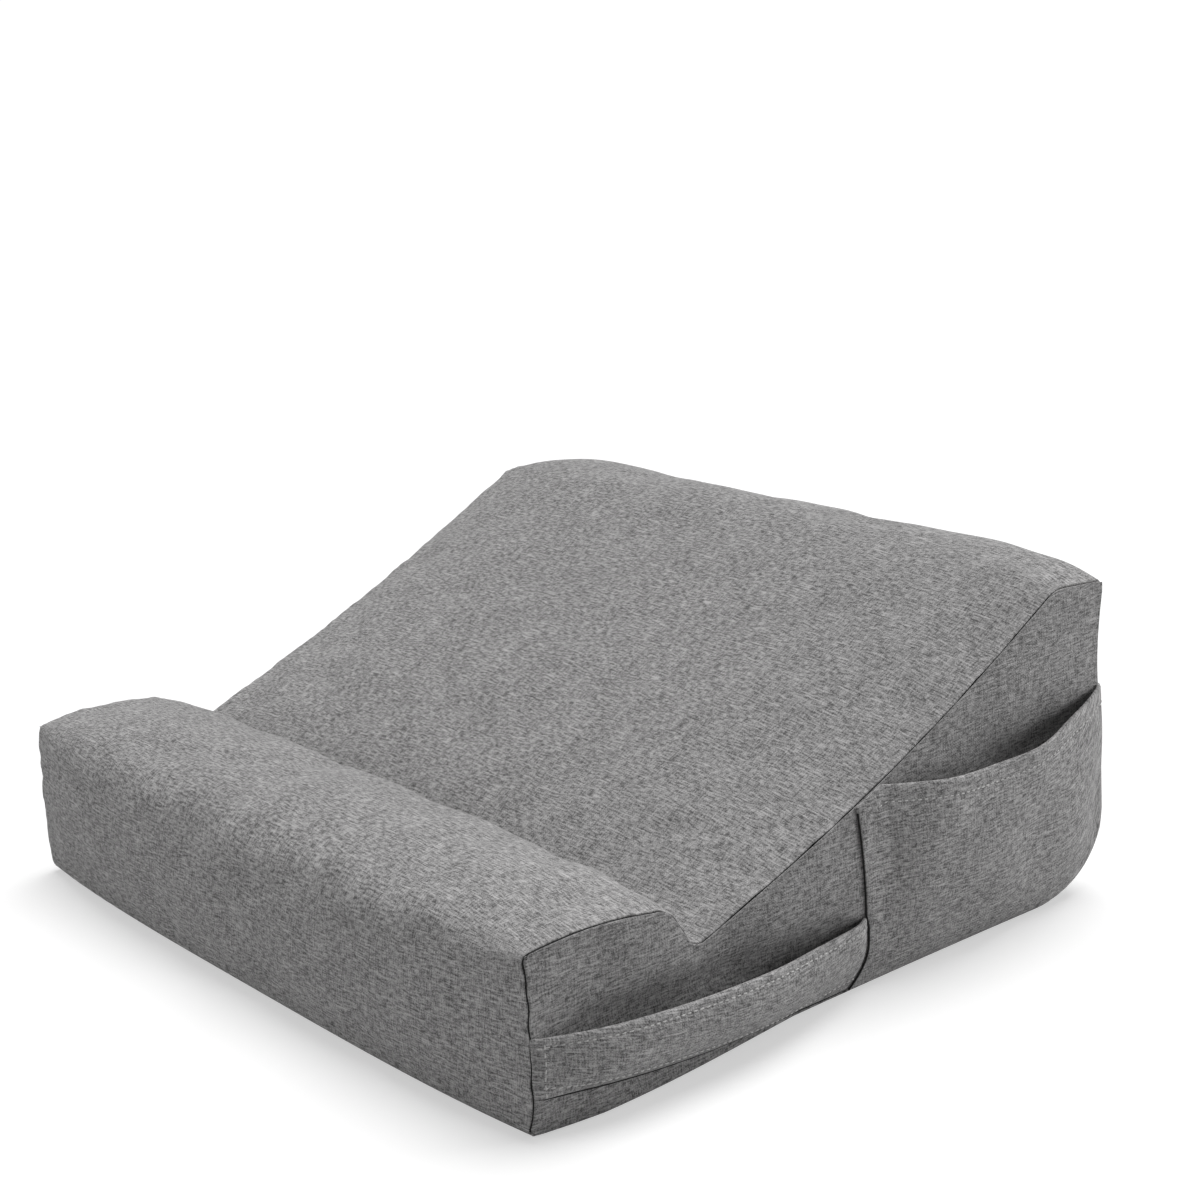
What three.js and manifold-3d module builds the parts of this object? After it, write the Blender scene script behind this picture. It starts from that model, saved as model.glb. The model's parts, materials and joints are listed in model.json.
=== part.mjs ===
// Wedge cushion with a front lip, a rest groove, two side pockets and a zipped cover.
// Millimetres. X to the right, Y to the back, Z up. Origin at the middle of the base.
import * as THREE from 'three';
import { mergeVertices } from 'three/addons/utils/BufferGeometryUtils.js';
import Module from 'manifold-3d';

const wasm = await Module();
wasm.setup();

// Outer outline of the cover, seen from the side and measured at the side seams
const WIDTH = 395;
const DEPTH = 334;
const FRONT_LEAN = 3;
const LIP_HEIGHT = 77;
const LIP_DEPTH = 67;
const LIP_FALL = 3;
const GROOVE_RUN = 13;
const GROOVE_DROP = 22;
const RIDGE_HEIGHT = 148;
const RIDGE_FROM_BACK = 33;
const BACK_HEIGHT = 144.5;
const BACK_TUCK = 3;

// Rounding of the outline's corners, and the most of a line's length that a round may take
const FRONT_BASE_RADIUS = 4;
const LIP_FRONT_RADIUS = 6;
const LIP_REAR_RADIUS = 10;
const GROOVE_RADIUS = 7;
const RIDGE_RADIUS = 18;
const BACK_TOP_RADIUS = 8;
const BACK_BASE_RADIUS = 44;
const ROUND_SHARE = 0.45;

// Swell of the stuffed faces at mid width, and pull of the side seams between the corners
const FRONT_BASE_CROWN = 4;
const FRONT_CROWN = 3;
const LIP_CROWN = 2.5;
const LIP_EDGE_CROWN = 3;
const SLOPE_CROWN = 1.5;
const SLOPE_SEAM_DIP = 5;
const TOP_EDGE_CROWN = 8;
const TOP_CROWN = 1;
const BACK_CROWN = 2;
const BACK_SEAM_PULL = 2.5;
const CROWN_POWER = 3.5;
const SIDE_CROWN = 3;
const SIDE_LEAN = 4;
const SIDE_DRAW = 2;
const SIDE_END = 8;

// Cloth of the cover
const CLOTH = 1.2;
const SEAM_GAP = 0.3;
const FOAM_EASE = 1;

// Side pockets, on the right
const POCKET_SEAM_Y = 12;
const POCKET_SEAM_TILT = 0.08;
const POCKET_INSET = 1.5;
const FRONT_MOUTH_FRONT = 42;
const FRONT_MOUTH_REAR = 33;
const FRONT_MOUTH_SAG = 2;
const FRONT_SEAM_FRONT = 15;
const FRONT_SEAM_REAR = 5;
const FRONT_SEAM_BEND = 2.2;
const FRONT_GAPE = 9;
const REAR_MOUTH_START = 22;
const REAR_MOUTH_SAG = 8.5;
const REAR_MOUTH_BELOW_TOP = 49;
const REAR_MOUTH_DROP = 1.5;
const REAR_SEAM_RISE = 1;
const REAR_GAPE = 11;
const GAPE_ROUND = 0.7;

// Zip fastener in the back
const TAPE_WIDTH = 13;
const TAPE_THICK = 0.6;
const TAPE_MARGIN = 2;
const ZIP_OPENING = 14;
const ZIP_SIDE_MARGIN = 32.5;
const TOOTH_PITCH = 3;
const TOOTH_WIDTH = 1.1;
const TOOTH_TAPER = 0.8;
const TOOTH_LENGTH = 2.5;
const TOOTH_THICK = 2.4;
const SPINE_WIDTH = 1.4;
const STOP_LENGTH = 2.4;
const END_STOP_LENGTH = 4;

// Slider and pull
const RUN_GAP = 0.4;
const SLIDER_LENGTH = 12;
const SLIDER_PLATE = 1;
const SLIDER_WALL = 1.2;
const SLIDER_FLARE = 1;
const SLIDER_NOSE = 2;
const SLOT_HALF = 0.8;
const POST_FROM_MIDDLE = 2.6;
const POST_LENGTH = 2.2;
const POST_WIDTH = 2;
const BRIDGE_WIDTH = 1.6;
const BRIDGE_BAR = 1;
const BRIDGE_SPAN = 3.4;
const BRIDGE_RISE = 2.2;
const PULL_THICK = 1.2;
const PULL_BAR = 1.4;
const PULL_WINDOW = 3.8;
const PULL_ARM = 1.5;
const PULL_LENGTH = 26;
const PULL_GRIP_WIDTH = 7;

// Facet counts
const FRONT_LINE_STEPS = 7;
const LIP_STEPS = 3;
const SLOPE_STEPS = 6;
const TOP_STEPS = 2;
const BACK_STEPS = 3;
const BEND_STEPS = 3;
const HALF_ROUND_STEPS = 2;
const GRIP_STEPS = 6;
const POCKET_COLUMNS = 14;
const POCKET_ROWS = 5;
const STATIONS = [-1, -0.88, -0.65, -0.33, 0, 0.33, 0.65, 0.88, 1];

const finish = (name, color, roughness, metalness = 0) => {
  return new THREE.MeshStandardMaterial({ name, color, roughness, metalness });
};
const clothMaterial = (name) => finish(name, 0x828183, 0.95);
const foamMaterial = finish('foam', 0xe9e4d2, 0.9);
const tapeMaterial = finish('tape', 0x5d5d60, 0.9);
const toothMaterial = finish('teeth', 0x4c4c50, 0.45);
const metalMaterial = finish('metal', 0x4a4a4e, 0.4, 0.8);

const { lerp, clamp } = THREE.MathUtils;
const bell = (t) => Math.sin(Math.PI * clamp(t, 0, 1));

// Corners of the side outline as (y, z), with the swell that each takes at mid width.
// A corner swells along its normal, but the front base edge only forward, over the flat base.
// The back base corner lies under an upright stretch of the back, which holds the zip.
const frontY = -DEPTH / 2;
const backY = DEPTH / 2;
const lipFrontY = frontY + FRONT_LEAN;
const lipRearY = lipFrontY + LIP_DEPTH;
const lipRearZ = LIP_HEIGHT - LIP_FALL;
const tuckY = backY - BACK_TUCK;
const corners = [
  { y: frontY, z: 0, radius: FRONT_BASE_RADIUS, crown: FRONT_BASE_CROWN, push: [-1, 0] },
  { y: lipFrontY, z: LIP_HEIGHT, radius: LIP_FRONT_RADIUS, crown: LIP_EDGE_CROWN },
  { y: lipRearY, z: lipRearZ, radius: LIP_REAR_RADIUS, crown: LIP_EDGE_CROWN },
  { y: lipRearY + GROOVE_RUN, z: lipRearZ - GROOVE_DROP, radius: GROOVE_RADIUS, crown: 0 },
  { y: backY - RIDGE_FROM_BACK, z: RIDGE_HEIGHT, radius: RIDGE_RADIUS, crown: TOP_EDGE_CROWN },
  { y: backY, z: BACK_HEIGHT, radius: BACK_TOP_RADIUS, crown: TOP_EDGE_CROWN },
  { y: tuckY, z: 0, radius: BACK_BASE_RADIUS, crown: 0, before: { y: tuckY, z: BACK_HEIGHT } },
];

// A round corner: its arc, and the points where it leaves the straight lines
function fillet(index) {
  const corner = corners[index];
  const before = corner.before ?? corners[(index + corners.length - 1) % corners.length];
  const after = corners[(index + 1) % corners.length];
  const point = new THREE.Vector2(corner.y, corner.z);
  const back = new THREE.Vector2(before.y, before.z).sub(point);
  const ahead = new THREE.Vector2(after.y, after.z).sub(point);
  const room = ROUND_SHARE * Math.min(back.length(), ahead.length());
  const turn = back.cross(ahead);
  back.normalize();
  ahead.normalize();
  const half = Math.acos(clamp(back.dot(ahead), -1, 1)) / 2;
  const radius = Math.min(corner.radius, room * Math.tan(half));
  const reach = radius / Math.tan(half);
  const middle = back.clone().add(ahead).normalize();
  const centre = point.clone().addScaledVector(middle, radius / Math.sin(half));
  const start = point.clone().addScaledVector(back, reach);
  const end = point.clone().addScaledVector(ahead, reach);
  const outward = turn > 0 ? 1 : -1;
  const from = Math.atan2(start.y - centre.y, start.x - centre.x);
  let sweep = Math.atan2(end.y - centre.y, end.x - centre.x) - from;
  sweep -= 2 * Math.PI * Math.round(sweep / (2 * Math.PI));
  const at = (t) => {
    const angle = from + sweep * t;
    const ray = new THREE.Vector2(Math.cos(angle), Math.sin(angle));
    const normal = [outward * ray.x, outward * ray.y];
    const place = { y: centre.x + radius * ray.x, z: centre.y + radius * ray.y };
    return { ...place, normal, push: corner.push ?? normal, crown: corner.crown, dip: 0 };
  };
  return { at, start, end, centre, radius, crown: corner.crown };
}
const [frontBase, lipFront, lipRear, groove, ridge, backTop, backBase] = corners.map((_, i) => fillet(i));

// Points along a round, after its start, from one share of its turn to another
function round(corner, from, to, steps) {
  return Array.from({ length: steps }, (_, k) => corner.at(lerp(from, to, (k + 1) / steps)));
}

// Points along a straight face between two rounds, after its start
function face(from, to, steps, swell, dip) {
  const normal = new THREE.Vector2(from.end.y - to.start.y, to.start.x - from.end.x).normalize().toArray();
  return Array.from({ length: steps }, (_, k) => {
    const t = (k + 1) / steps;
    return {
      y: lerp(from.end.x, to.start.x, t),
      z: lerp(from.end.y, to.start.y, t),
      normal,
      push: normal,
      crown: lerp(from.crown, to.crown, t) + swell * bell(t),
      dip: dip * bell(t),
    };
  });
}

// Heights of the zip on the back: it lies on a stretch that stays straight across the width
const spineOuter = 2 * SPINE_WIDTH;
const tapeEdge = spineOuter + SEAM_GAP;
const zipZ = backBase.start.y + TAPE_MARGIN + TAPE_WIDTH + tapeEdge;
const flatTopZ = zipZ + tapeEdge + TAPE_WIDTH + 2 * TAPE_MARGIN;

// The back face, from its top round down to its base round
function backFace() {
  const topZ = backTop.end.y;
  const swollen = Array.from({ length: BACK_STEPS }, (_, k) => lerp(topZ, flatTopZ, (k + 1) / BACK_STEPS));
  const heights = [...swollen, zipZ + ZIP_OPENING / 2, zipZ - ZIP_OPENING / 2, backBase.start.y];
  return heights.map((z) => {
    const t = clamp((z - flatTopZ) / (topZ - flatTopZ), 0, 1);
    return {
      y: lerp(tuckY, backTop.end.x, t),
      z,
      normal: [1, 0],
      push: [1, 0],
      crown: backTop.crown * t + BACK_CROWN * bell(t),
      dip: BACK_SEAM_PULL * bell(t),
    };
  });
}

// The base under a given depth: flat, with a round at each end, and slid forward with the front edge
function basePoint(y) {
  const share = clamp((y - frontY) / DEPTH, 0, 1);
  const slide = { push: [-1, 0], crown: FRONT_BASE_CROWN * (1 - share) ** 2, dip: 0 };
  if (y >= frontBase.centre.x && y <= backBase.centre.x) return { y, z: 0, normal: [0, -1], ...slide };
  const end = y < frontBase.centre.x ? frontBase : backBase;
  const dy = y - end.centre.x;
  const dz = -Math.sqrt(Math.max(0, end.radius ** 2 - dy ** 2));
  return { y, z: end.centre.y + dz, normal: [dy / end.radius, dz / end.radius], ...slide };
}

// The closed outline in four sides, from the front base corner up and over to the base again
const frontSide = [
  ...round(frontBase, 0.5, 1, 1),
  ...face(frontBase, lipFront, FRONT_LINE_STEPS, FRONT_CROWN, 0),
  ...round(lipFront, 0, 0.5, HALF_ROUND_STEPS),
];
const topSide = [
  ...round(lipFront, 0.5, 1, HALF_ROUND_STEPS),
  ...face(lipFront, lipRear, LIP_STEPS, LIP_CROWN, 0),
  ...round(lipRear, 0, 1, BEND_STEPS),
  ...face(lipRear, groove, 1, 0, 0),
  ...round(groove, 0, 1, BEND_STEPS),
  ...face(groove, ridge, SLOPE_STEPS, SLOPE_CROWN, SLOPE_SEAM_DIP),
  ...round(ridge, 0, 1, BEND_STEPS),
  ...face(ridge, backTop, TOP_STEPS, TOP_CROWN, 0),
  ...round(backTop, 0, 0.5, HALF_ROUND_STEPS),
];
const backSide = [
  ...round(backTop, 0.5, 1, HALF_ROUND_STEPS),
  ...backFace(),
  ...round(backBase, 0, 0.5, HALF_ROUND_STEPS),
];
const startPoint = frontBase.at(0.5);
const topStart = frontSide[frontSide.length - 1];
const topEnd = topSide[topSide.length - 1];
const backEnd = backSide[backSide.length - 1];
const baseSide = [topStart, ...topSide].slice(0, -1).reverse().map((p) => {
  const share = (p.y - topStart.y) / (topEnd.y - topStart.y);
  return basePoint(lerp(startPoint.y, backEnd.y, share));
});
const outline = [startPoint, ...frontSide, ...topSide, ...backSide, ...baseSide.slice(0, -1)];
const ROWS = frontSide.length;
const COLUMNS = topSide.length;
const topFrom = ROWS;
const backFrom = ROWS + COLUMNS;
const baseFrom = backFrom + backSide.length;
const zipUpperIndex = backFrom + HALF_ROUND_STEPS + BACK_STEPS + 1;
const zipLowerIndex = zipUpperIndex + 1;

// The outline at a share of the half width, moved inward by a thickness
function section(share, inward) {
  const swell = 1 - Math.abs(share) ** CROWN_POWER;
  return outline.map((p, i) => {
    const out = (p.dip + p.crown) * swell - p.dip;
    const depth = inward(i);
    return {
      y: p.y + p.push[0] * out - p.normal[0] * depth,
      z: p.z + p.push[1] * out - p.normal[1] * depth,
    };
  });
}
const seamLine = section(1, () => 0);

// Height of the upper side seam over a given depth
function seamTop(y) {
  const line = seamLine.slice(topFrom, backFrom + 1);
  const next = line.findIndex((p) => p.y >= y);
  if (next === -1) return line[line.length - 1].z;
  if (next === 0) return line[0].z;
  const [a, b] = [line[next - 1], line[next]];
  return lerp(a.z, b.z, (y - a.y) / (b.y - a.y));
}

// Outer face of the right side panel: it leans out at the top and swells between its seams
function sideX(y, z) {
  const along = 1 - Math.min(1, Math.abs(y) / (backY - SIDE_END)) ** 2;
  const up = clamp(z / seamTop(y), 0, 1);
  return WIDTH / 2 + along * (lerp(-SIDE_DRAW, SIDE_LEAN, up) + SIDE_CROWN * 4 * up * (1 - up));
}

// A closed geometry from points and triangles, with its faces pointing out
function closedGeometry(points, triangles) {
  const volume = triangles.reduce((sum, [a, b, c]) => {
    return sum + points[a].dot(points[b].clone().cross(points[c]));
  }, 0);
  const faces = volume > 0 ? triangles : triangles.map(([a, b, c]) => [a, c, b]);
  const geometry = new THREE.BufferGeometry().setFromPoints(points);
  geometry.setIndex(faces.flat());
  geometry.computeVertexNormals();
  return geometry;
}

// A sheet with a thickness, from two grids of points
function sheetGeometry(outer, inner) {
  const rows = outer.length;
  const columns = outer[0].length;
  const layer = rows * columns;
  const points = [...outer.flat(), ...inner.flat()];
  const at = (side, i, j) => side * layer + i * columns + j;
  const triangles = [];
  const quad = (a, b, c, d) => triangles.push([a, b, c], [a, c, d]);
  for (let i = 0; i + 1 < rows; i++) {
    for (let j = 0; j + 1 < columns; j++) {
      quad(at(0, i, j), at(0, i + 1, j), at(0, i + 1, j + 1), at(0, i, j + 1));
      quad(at(1, i, j), at(1, i, j + 1), at(1, i + 1, j + 1), at(1, i + 1, j));
    }
    quad(at(0, i, 0), at(1, i, 0), at(1, i + 1, 0), at(0, i + 1, 0));
    quad(at(0, i, columns - 1), at(0, i + 1, columns - 1), at(1, i + 1, columns - 1), at(1, i, columns - 1));
  }
  for (let j = 0; j + 1 < columns; j++) {
    quad(at(0, 0, j), at(0, 0, j + 1), at(1, 0, j + 1), at(1, 0, j));
    quad(at(0, rows - 1, j), at(1, rows - 1, j), at(1, rows - 1, j + 1), at(0, rows - 1, j + 1));
  }
  return closedGeometry(points, triangles);
}

// Place of an outline point in the grid of a side face
function outlineIndex(column, row) {
  if (column === 0) return row;
  if (row === ROWS) return topFrom + column;
  if (column === COLUMNS) return backFrom + ROWS - row;
  if (row === 0) return (baseFrom + COLUMNS - column) % outline.length;
  return -1;
}

// A side face as a grid that blends between its four edges
function sideGrid(edge) {
  const at = (column, row) => edge[outlineIndex(column, row)];
  const blend = (column, row, key) => {
    const s = column / COLUMNS;
    const t = row / ROWS;
    const across = lerp(at(0, row)[key], at(COLUMNS, row)[key], s);
    const upright = lerp(at(column, 0)[key], at(column, ROWS)[key], t);
    const low = lerp(at(0, 0)[key], at(COLUMNS, 0)[key], s);
    const high = lerp(at(0, ROWS)[key], at(COLUMNS, ROWS)[key], s);
    return across + upright - lerp(low, high, t);
  };
  return Array.from({ length: COLUMNS + 1 }, (_, column) =>
    Array.from({ length: ROWS + 1 }, (_, row) => {
      if (outlineIndex(column, row) >= 0) return at(column, row);
      return { y: blend(column, row, 'y'), z: blend(column, row, 'z') };
    }));
}

// Foam wedge, eased behind the zip so that tapes and slider have room
const zipY = tuckY - CLOTH - SEAM_GAP - TAPE_THICK / 2;
const channelHalf = TOOTH_THICK / 2 + RUN_GAP;
const sliderHalf = channelHalf + SLIDER_PLATE;
const foamInset = CLOTH + SEAM_GAP;
function foamInward(index) {
  const onBack = index >= backFrom + HALF_ROUND_STEPS && index <= baseFrom - HALF_ROUND_STEPS;
  const atZip = index === zipUpperIndex || index === zipLowerIndex;
  if (atZip) return tuckY - zipY + sliderHalf + SEAM_GAP;
  return foamInset + (onBack ? FOAM_EASE : 0);
}
function foamGeometry() {
  const points = [];
  const triangles = [];
  const count = outline.length;
  for (const share of STATIONS) {
    for (const p of section(share, foamInward)) {
      points.push(new THREE.Vector3(share * (sideX(p.y, p.z) - foamInset), p.y, p.z));
    }
  }
  for (let s = 0; s + 1 < STATIONS.length; s++) {
    for (let i = 0; i < count; i++) {
      const a = s * count + i;
      const b = s * count + ((i + 1) % count);
      triangles.push([a, b, b + count], [a, b + count, a + count]);
    }
  }
  for (const side of [-1, 1]) {
    const grid = sideGrid(section(side, foamInward));
    const first = side < 0 ? 0 : (STATIONS.length - 1) * count;
    const index = grid.map((column, c) => column.map((p, r) => {
      const onEdge = outlineIndex(c, r);
      if (onEdge >= 0) return first + onEdge;
      points.push(new THREE.Vector3(side * (sideX(p.y, p.z) - foamInset), p.y, p.z));
      return points.length - 1;
    }));
    for (let c = 0; c < COLUMNS; c++) {
      for (let r = 0; r < ROWS; r++) {
        const [a, b, d, e] = [index[c][r], index[c + 1][r], index[c + 1][r + 1], index[c][r + 1]];
        if (side < 0) triangles.push([a, b, d], [a, d, e]);
        else triangles.push([a, d, b], [a, e, d]);
      }
    }
  }
  return closedGeometry(points, triangles);
}

// One strip of cover cloth over a run of the outline
function stripGeometry(first, last) {
  const indices = Array.from({ length: last - first + 1 }, (_, k) => first + k);
  const layer = (depth) => {
    const sections = STATIONS.map((share) => section(share, () => depth));
    return indices.map((i) => STATIONS.map((share, s) => {
      const p = sections[s][i];
      return new THREE.Vector3(share * (sideX(p.y, p.z) - foamInset), p.y, p.z);
    }));
  };
  return sheetGeometry(layer(0), layer(CLOTH));
}

// A whole side panel, on the right for side 1 and on the left for side -1
function sidePanelGeometry(side) {
  const fromFront = sideGrid(seamLine);
  const grid = side > 0 ? fromFront : fromFront.toReversed();
  const layer = (depth) => grid.map((column) => column.map((p) => {
    return new THREE.Vector3(side * (sideX(p.y, p.z) - depth), p.y, p.z);
  }));
  return sheetGeometry(layer(0), layer(CLOTH));
}

// A pocket sewn down at its ends and foot, gaping at its mouth
function pocketGeometry({ from, to, start, foot, mouth, gape }) {
  const layer = (depth) => Array.from({ length: POCKET_COLUMNS + 1 }, (_, c) => {
    const s = c / POCKET_COLUMNS;
    const footY = lerp(from.foot, to.foot, s);
    const mouthY = lerp(from.mouth, to.mouth, s);
    const open = clamp((mouthY - start) / (to.mouth - start), 0, 1);
    return Array.from({ length: POCKET_ROWS + 1 }, (_, r) => {
      const t = r / POCKET_ROWS;
      const y = lerp(footY, mouthY, t);
      const z = lerp(foot(footY, s), mouth(mouthY, open), t);
      const bulge = gape * bell(lerp(s, open, t)) ** GAPE_ROUND * bell(t / 2) ** GAPE_ROUND;
      return new THREE.Vector3(sideX(y, z) + SEAM_GAP + bulge + depth, y, z);
    });
  });
  return sheetGeometry(layer(CLOTH), layer(0));
}
const pocketSeam = (z) => POCKET_SEAM_Y - POCKET_SEAM_TILT * z;
const upright = (y) => ({ foot: y, mouth: y });
const frontPocket = {
  from: upright(lipFrontY + POCKET_INSET),
  to: { foot: pocketSeam(FRONT_SEAM_REAR) - SEAM_GAP, mouth: pocketSeam(FRONT_MOUTH_REAR) - SEAM_GAP },
  start: lipFrontY + POCKET_INSET,
  foot: (y, s) => FRONT_SEAM_REAR + (FRONT_SEAM_FRONT - FRONT_SEAM_REAR) * (1 - s) ** FRONT_SEAM_BEND,
  mouth: (y, open) => lerp(FRONT_MOUTH_FRONT, FRONT_MOUTH_REAR, open) - FRONT_MOUTH_SAG * bell(open),
  gape: FRONT_GAPE,
};
const underSeam = (y) => seamTop(y) - REAR_MOUTH_DROP;
const rearMouthBack = BACK_HEIGHT - REAR_MOUTH_BELOW_TOP;
const rearPocket = {
  from: { foot: pocketSeam(REAR_SEAM_RISE), mouth: pocketSeam(underSeam(POCKET_SEAM_Y)) },
  to: upright(tuckY - POCKET_INSET),
  start: REAR_MOUTH_START,
  foot: (y) => basePoint(y).z + REAR_SEAM_RISE,
  mouth: (y, open) => {
    if (open === 0) return underSeam(y);
    return lerp(underSeam(REAR_MOUTH_START), rearMouthBack, open) - REAR_MOUTH_SAG * bell(open);
  },
  gape: REAR_GAPE,
};

// Plates and arches of the zip: an outline in X and Z given a thickness along Y
function plateGeometry(points, low, high, hole) {
  const shape = new THREE.Shape(points.map(([x, z]) => new THREE.Vector2(x, z)));
  if (hole) shape.holes.push(new THREE.Path(hole.map(([x, z]) => new THREE.Vector2(x, z))));
  const geometry = new THREE.ExtrudeGeometry(shape, { depth: high - low, bevelEnabled: false });
  return geometry.rotateX(Math.PI / 2).translate(0, high, 0);
}
const rectangle = (x0, x1, z0, z1) => [[x0, z0], [x1, z0], [x1, z1], [x0, z1]];

function solidOf(geometry) {
  const bare = geometry.clone();
  bare.deleteAttribute('normal');
  bare.deleteAttribute('uv');
  const merged = mergeVertices(bare, 1e-4);
  return new wasm.Manifold(new wasm.Mesh({
    numProp: 3,
    vertProperties: new Float32Array(merged.attributes.position.array),
    triVerts: new Uint32Array(merged.index.array),
  }));
}
function geometryOf(solid) {
  const mesh = solid.getMesh();
  const geometry = new THREE.BufferGeometry();
  geometry.setAttribute('position', new THREE.BufferAttribute(mesh.vertProperties, 3));
  geometry.setIndex(new THREE.BufferAttribute(mesh.triVerts, 1));
  geometry.computeVertexNormals();
  return geometry;
}

// A row of teeth on its spine. The other row is turned over and set half a pitch along
const toothCount = Math.floor((WIDTH - 2 * ZIP_SIDE_MARGIN) / TOOTH_PITCH);
const chainEnd = toothCount * TOOTH_PITCH / 2;
const chainStart = -chainEnd;
const toothTip = SPINE_WIDTH - TOOTH_LENGTH;
function teethGeometry(side) {
  const lead = side > 0 ? TOOTH_PITCH / 2 : TOOTH_PITCH;
  const points = [[chainStart, spineOuter], [chainStart, SPINE_WIDTH]];
  for (let k = 0; k + 1 < toothCount; k++) {
    const x = chainStart + lead + k * TOOTH_PITCH;
    const root = TOOTH_WIDTH / 2;
    const tip = root * TOOTH_TAPER;
    points.push([x - root, SPINE_WIDTH], [x - tip, toothTip], [x + tip, toothTip], [x + root, SPINE_WIDTH]);
  }
  points.push([chainEnd, SPINE_WIDTH], [chainEnd, spineOuter]);
  const turned = side > 0 ? points.reverse() : points.map(([x, z]) => [x, -z]);
  return plateGeometry(turned, -TOOTH_THICK / 2, TOOTH_THICK / 2);
}

// Slider: two plates joined by a post that parts the rows, with a bridge for the pull
const sliderX = chainEnd + RUN_GAP - POST_FROM_MIDDLE;
const channelRear = spineOuter + RUN_GAP;
const channelFront = channelRear + SLIDER_FLARE;
const bridgeFoot = sliderHalf - SLIDER_PLATE / 2;
const bridgeInside = sliderHalf + BRIDGE_RISE;
const bridgeTop = bridgeInside + BRIDGE_BAR;
const pivotY = sliderHalf + BRIDGE_RISE / 2;
function sliderGeometry() {
  const end = SLIDER_LENGTH / 2;
  const nose = end - SLIDER_NOSE;
  const rear = channelRear + SLIDER_WALL;
  const front = channelFront + SLIDER_WALL;
  const tail = -end + SLIDER_WALL;
  const tip = front - SLIDER_NOSE;
  const half = [[-end, rear - SLIDER_WALL], [tail, rear], [0, rear], [nose, front], [end, tip]];
  const across = half.map(([x, z]) => [x, -z]).concat([...half].reverse());
  const body = solidOf(plateGeometry(across, -sliderHalf, sliderHalf));
  const past = 2 * SLIDER_LENGTH;
  const flare = [[-past, channelRear], [0, channelRear], [nose, channelFront], [past, channelFront]];
  const channelLine = flare.map(([x, z]) => [x, -z]).concat([...flare].reverse());
  const channel = solidOf(plateGeometry(channelLine, -channelHalf, channelHalf));
  const slot = solidOf(plateGeometry(rectangle(-past, past, -past, past), -SLOT_HALF, SLOT_HALF));
  const postEnd = POST_FROM_MIDDLE + POST_LENGTH;
  const wedge = [[POST_FROM_MIDDLE, -POST_WIDTH / 4], [postEnd, -POST_WIDTH / 2],
    [postEnd, POST_WIDTH / 2], [POST_FROM_MIDDLE, POST_WIDTH / 4]];
  const post = solidOf(plateGeometry(wedge, -sliderHalf, sliderHalf));
  const outside = BRIDGE_SPAN / 2 + BRIDGE_BAR;
  const inside = BRIDGE_SPAN / 2;
  const arch = new THREE.Shape([
    [-outside, bridgeFoot], [-inside, bridgeFoot], [-inside, bridgeInside], [inside, bridgeInside],
    [inside, bridgeFoot], [outside, bridgeFoot], [outside, bridgeInside], [inside, bridgeTop],
    [-inside, bridgeTop], [-outside, bridgeInside],
  ].map(([x, y]) => new THREE.Vector2(x, y)));
  const bridgeShape = new THREE.ExtrudeGeometry(arch, { depth: BRIDGE_WIDTH, bevelEnabled: false });
  const bridge = solidOf(bridgeShape.translate(0, 0, -BRIDGE_WIDTH / 2));
  return geometryOf(body.subtract(channel.add(slot).subtract(post)).add(bridge));
}

// Pull: a tab whose cross bar lies in the bridge, flat against the chain at rest
function pullGeometry() {
  const bar = PULL_BAR / 2;
  const window = BRIDGE_WIDTH / 2 + RUN_GAP;
  const head = window + PULL_ARM;
  const grip = PULL_GRIP_WIDTH / 2;
  const neck = -bar - PULL_WINDOW - 2 * PULL_BAR;
  const outlinePoints = [[bar, -head], [bar, head], [neck, head], [neck - grip, grip]];
  for (let k = 0; k <= GRIP_STEPS; k++) {
    const angle = Math.PI / 2 + Math.PI * k / GRIP_STEPS;
    outlinePoints.push([-PULL_LENGTH + grip + grip * Math.cos(angle), grip * Math.sin(angle)]);
  }
  outlinePoints.push([neck - grip, -grip], [neck, -head]);
  const hole = rectangle(-bar - PULL_WINDOW, -bar, -window, window);
  return plateGeometry(outlinePoints, -PULL_THICK / 2, PULL_THICK / 2, hole);
}

// Assembly
const part = new THREE.Group();
function add(group, name, geometry, material) {
  const mesh = new THREE.Mesh(geometry, material);
  mesh.name = name;
  group.add(mesh);
  return mesh;
}
add(part, 'foam_core', foamGeometry(), foamMaterial);
add(part, 'top_panel', stripGeometry(0, zipUpperIndex), clothMaterial('top_cloth'));
add(part, 'base_panel', stripGeometry(zipLowerIndex, outline.length - 1), clothMaterial('base_cloth'));
add(part, 'right_side_panel', sidePanelGeometry(1), clothMaterial('side_cloth'));
add(part, 'left_side_panel', sidePanelGeometry(-1), clothMaterial('side_cloth'));
add(part, 'front_pocket', pocketGeometry(frontPocket), clothMaterial('pocket_cloth'));
add(part, 'rear_pocket', pocketGeometry(rearPocket), clothMaterial('pocket_cloth'));

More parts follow.
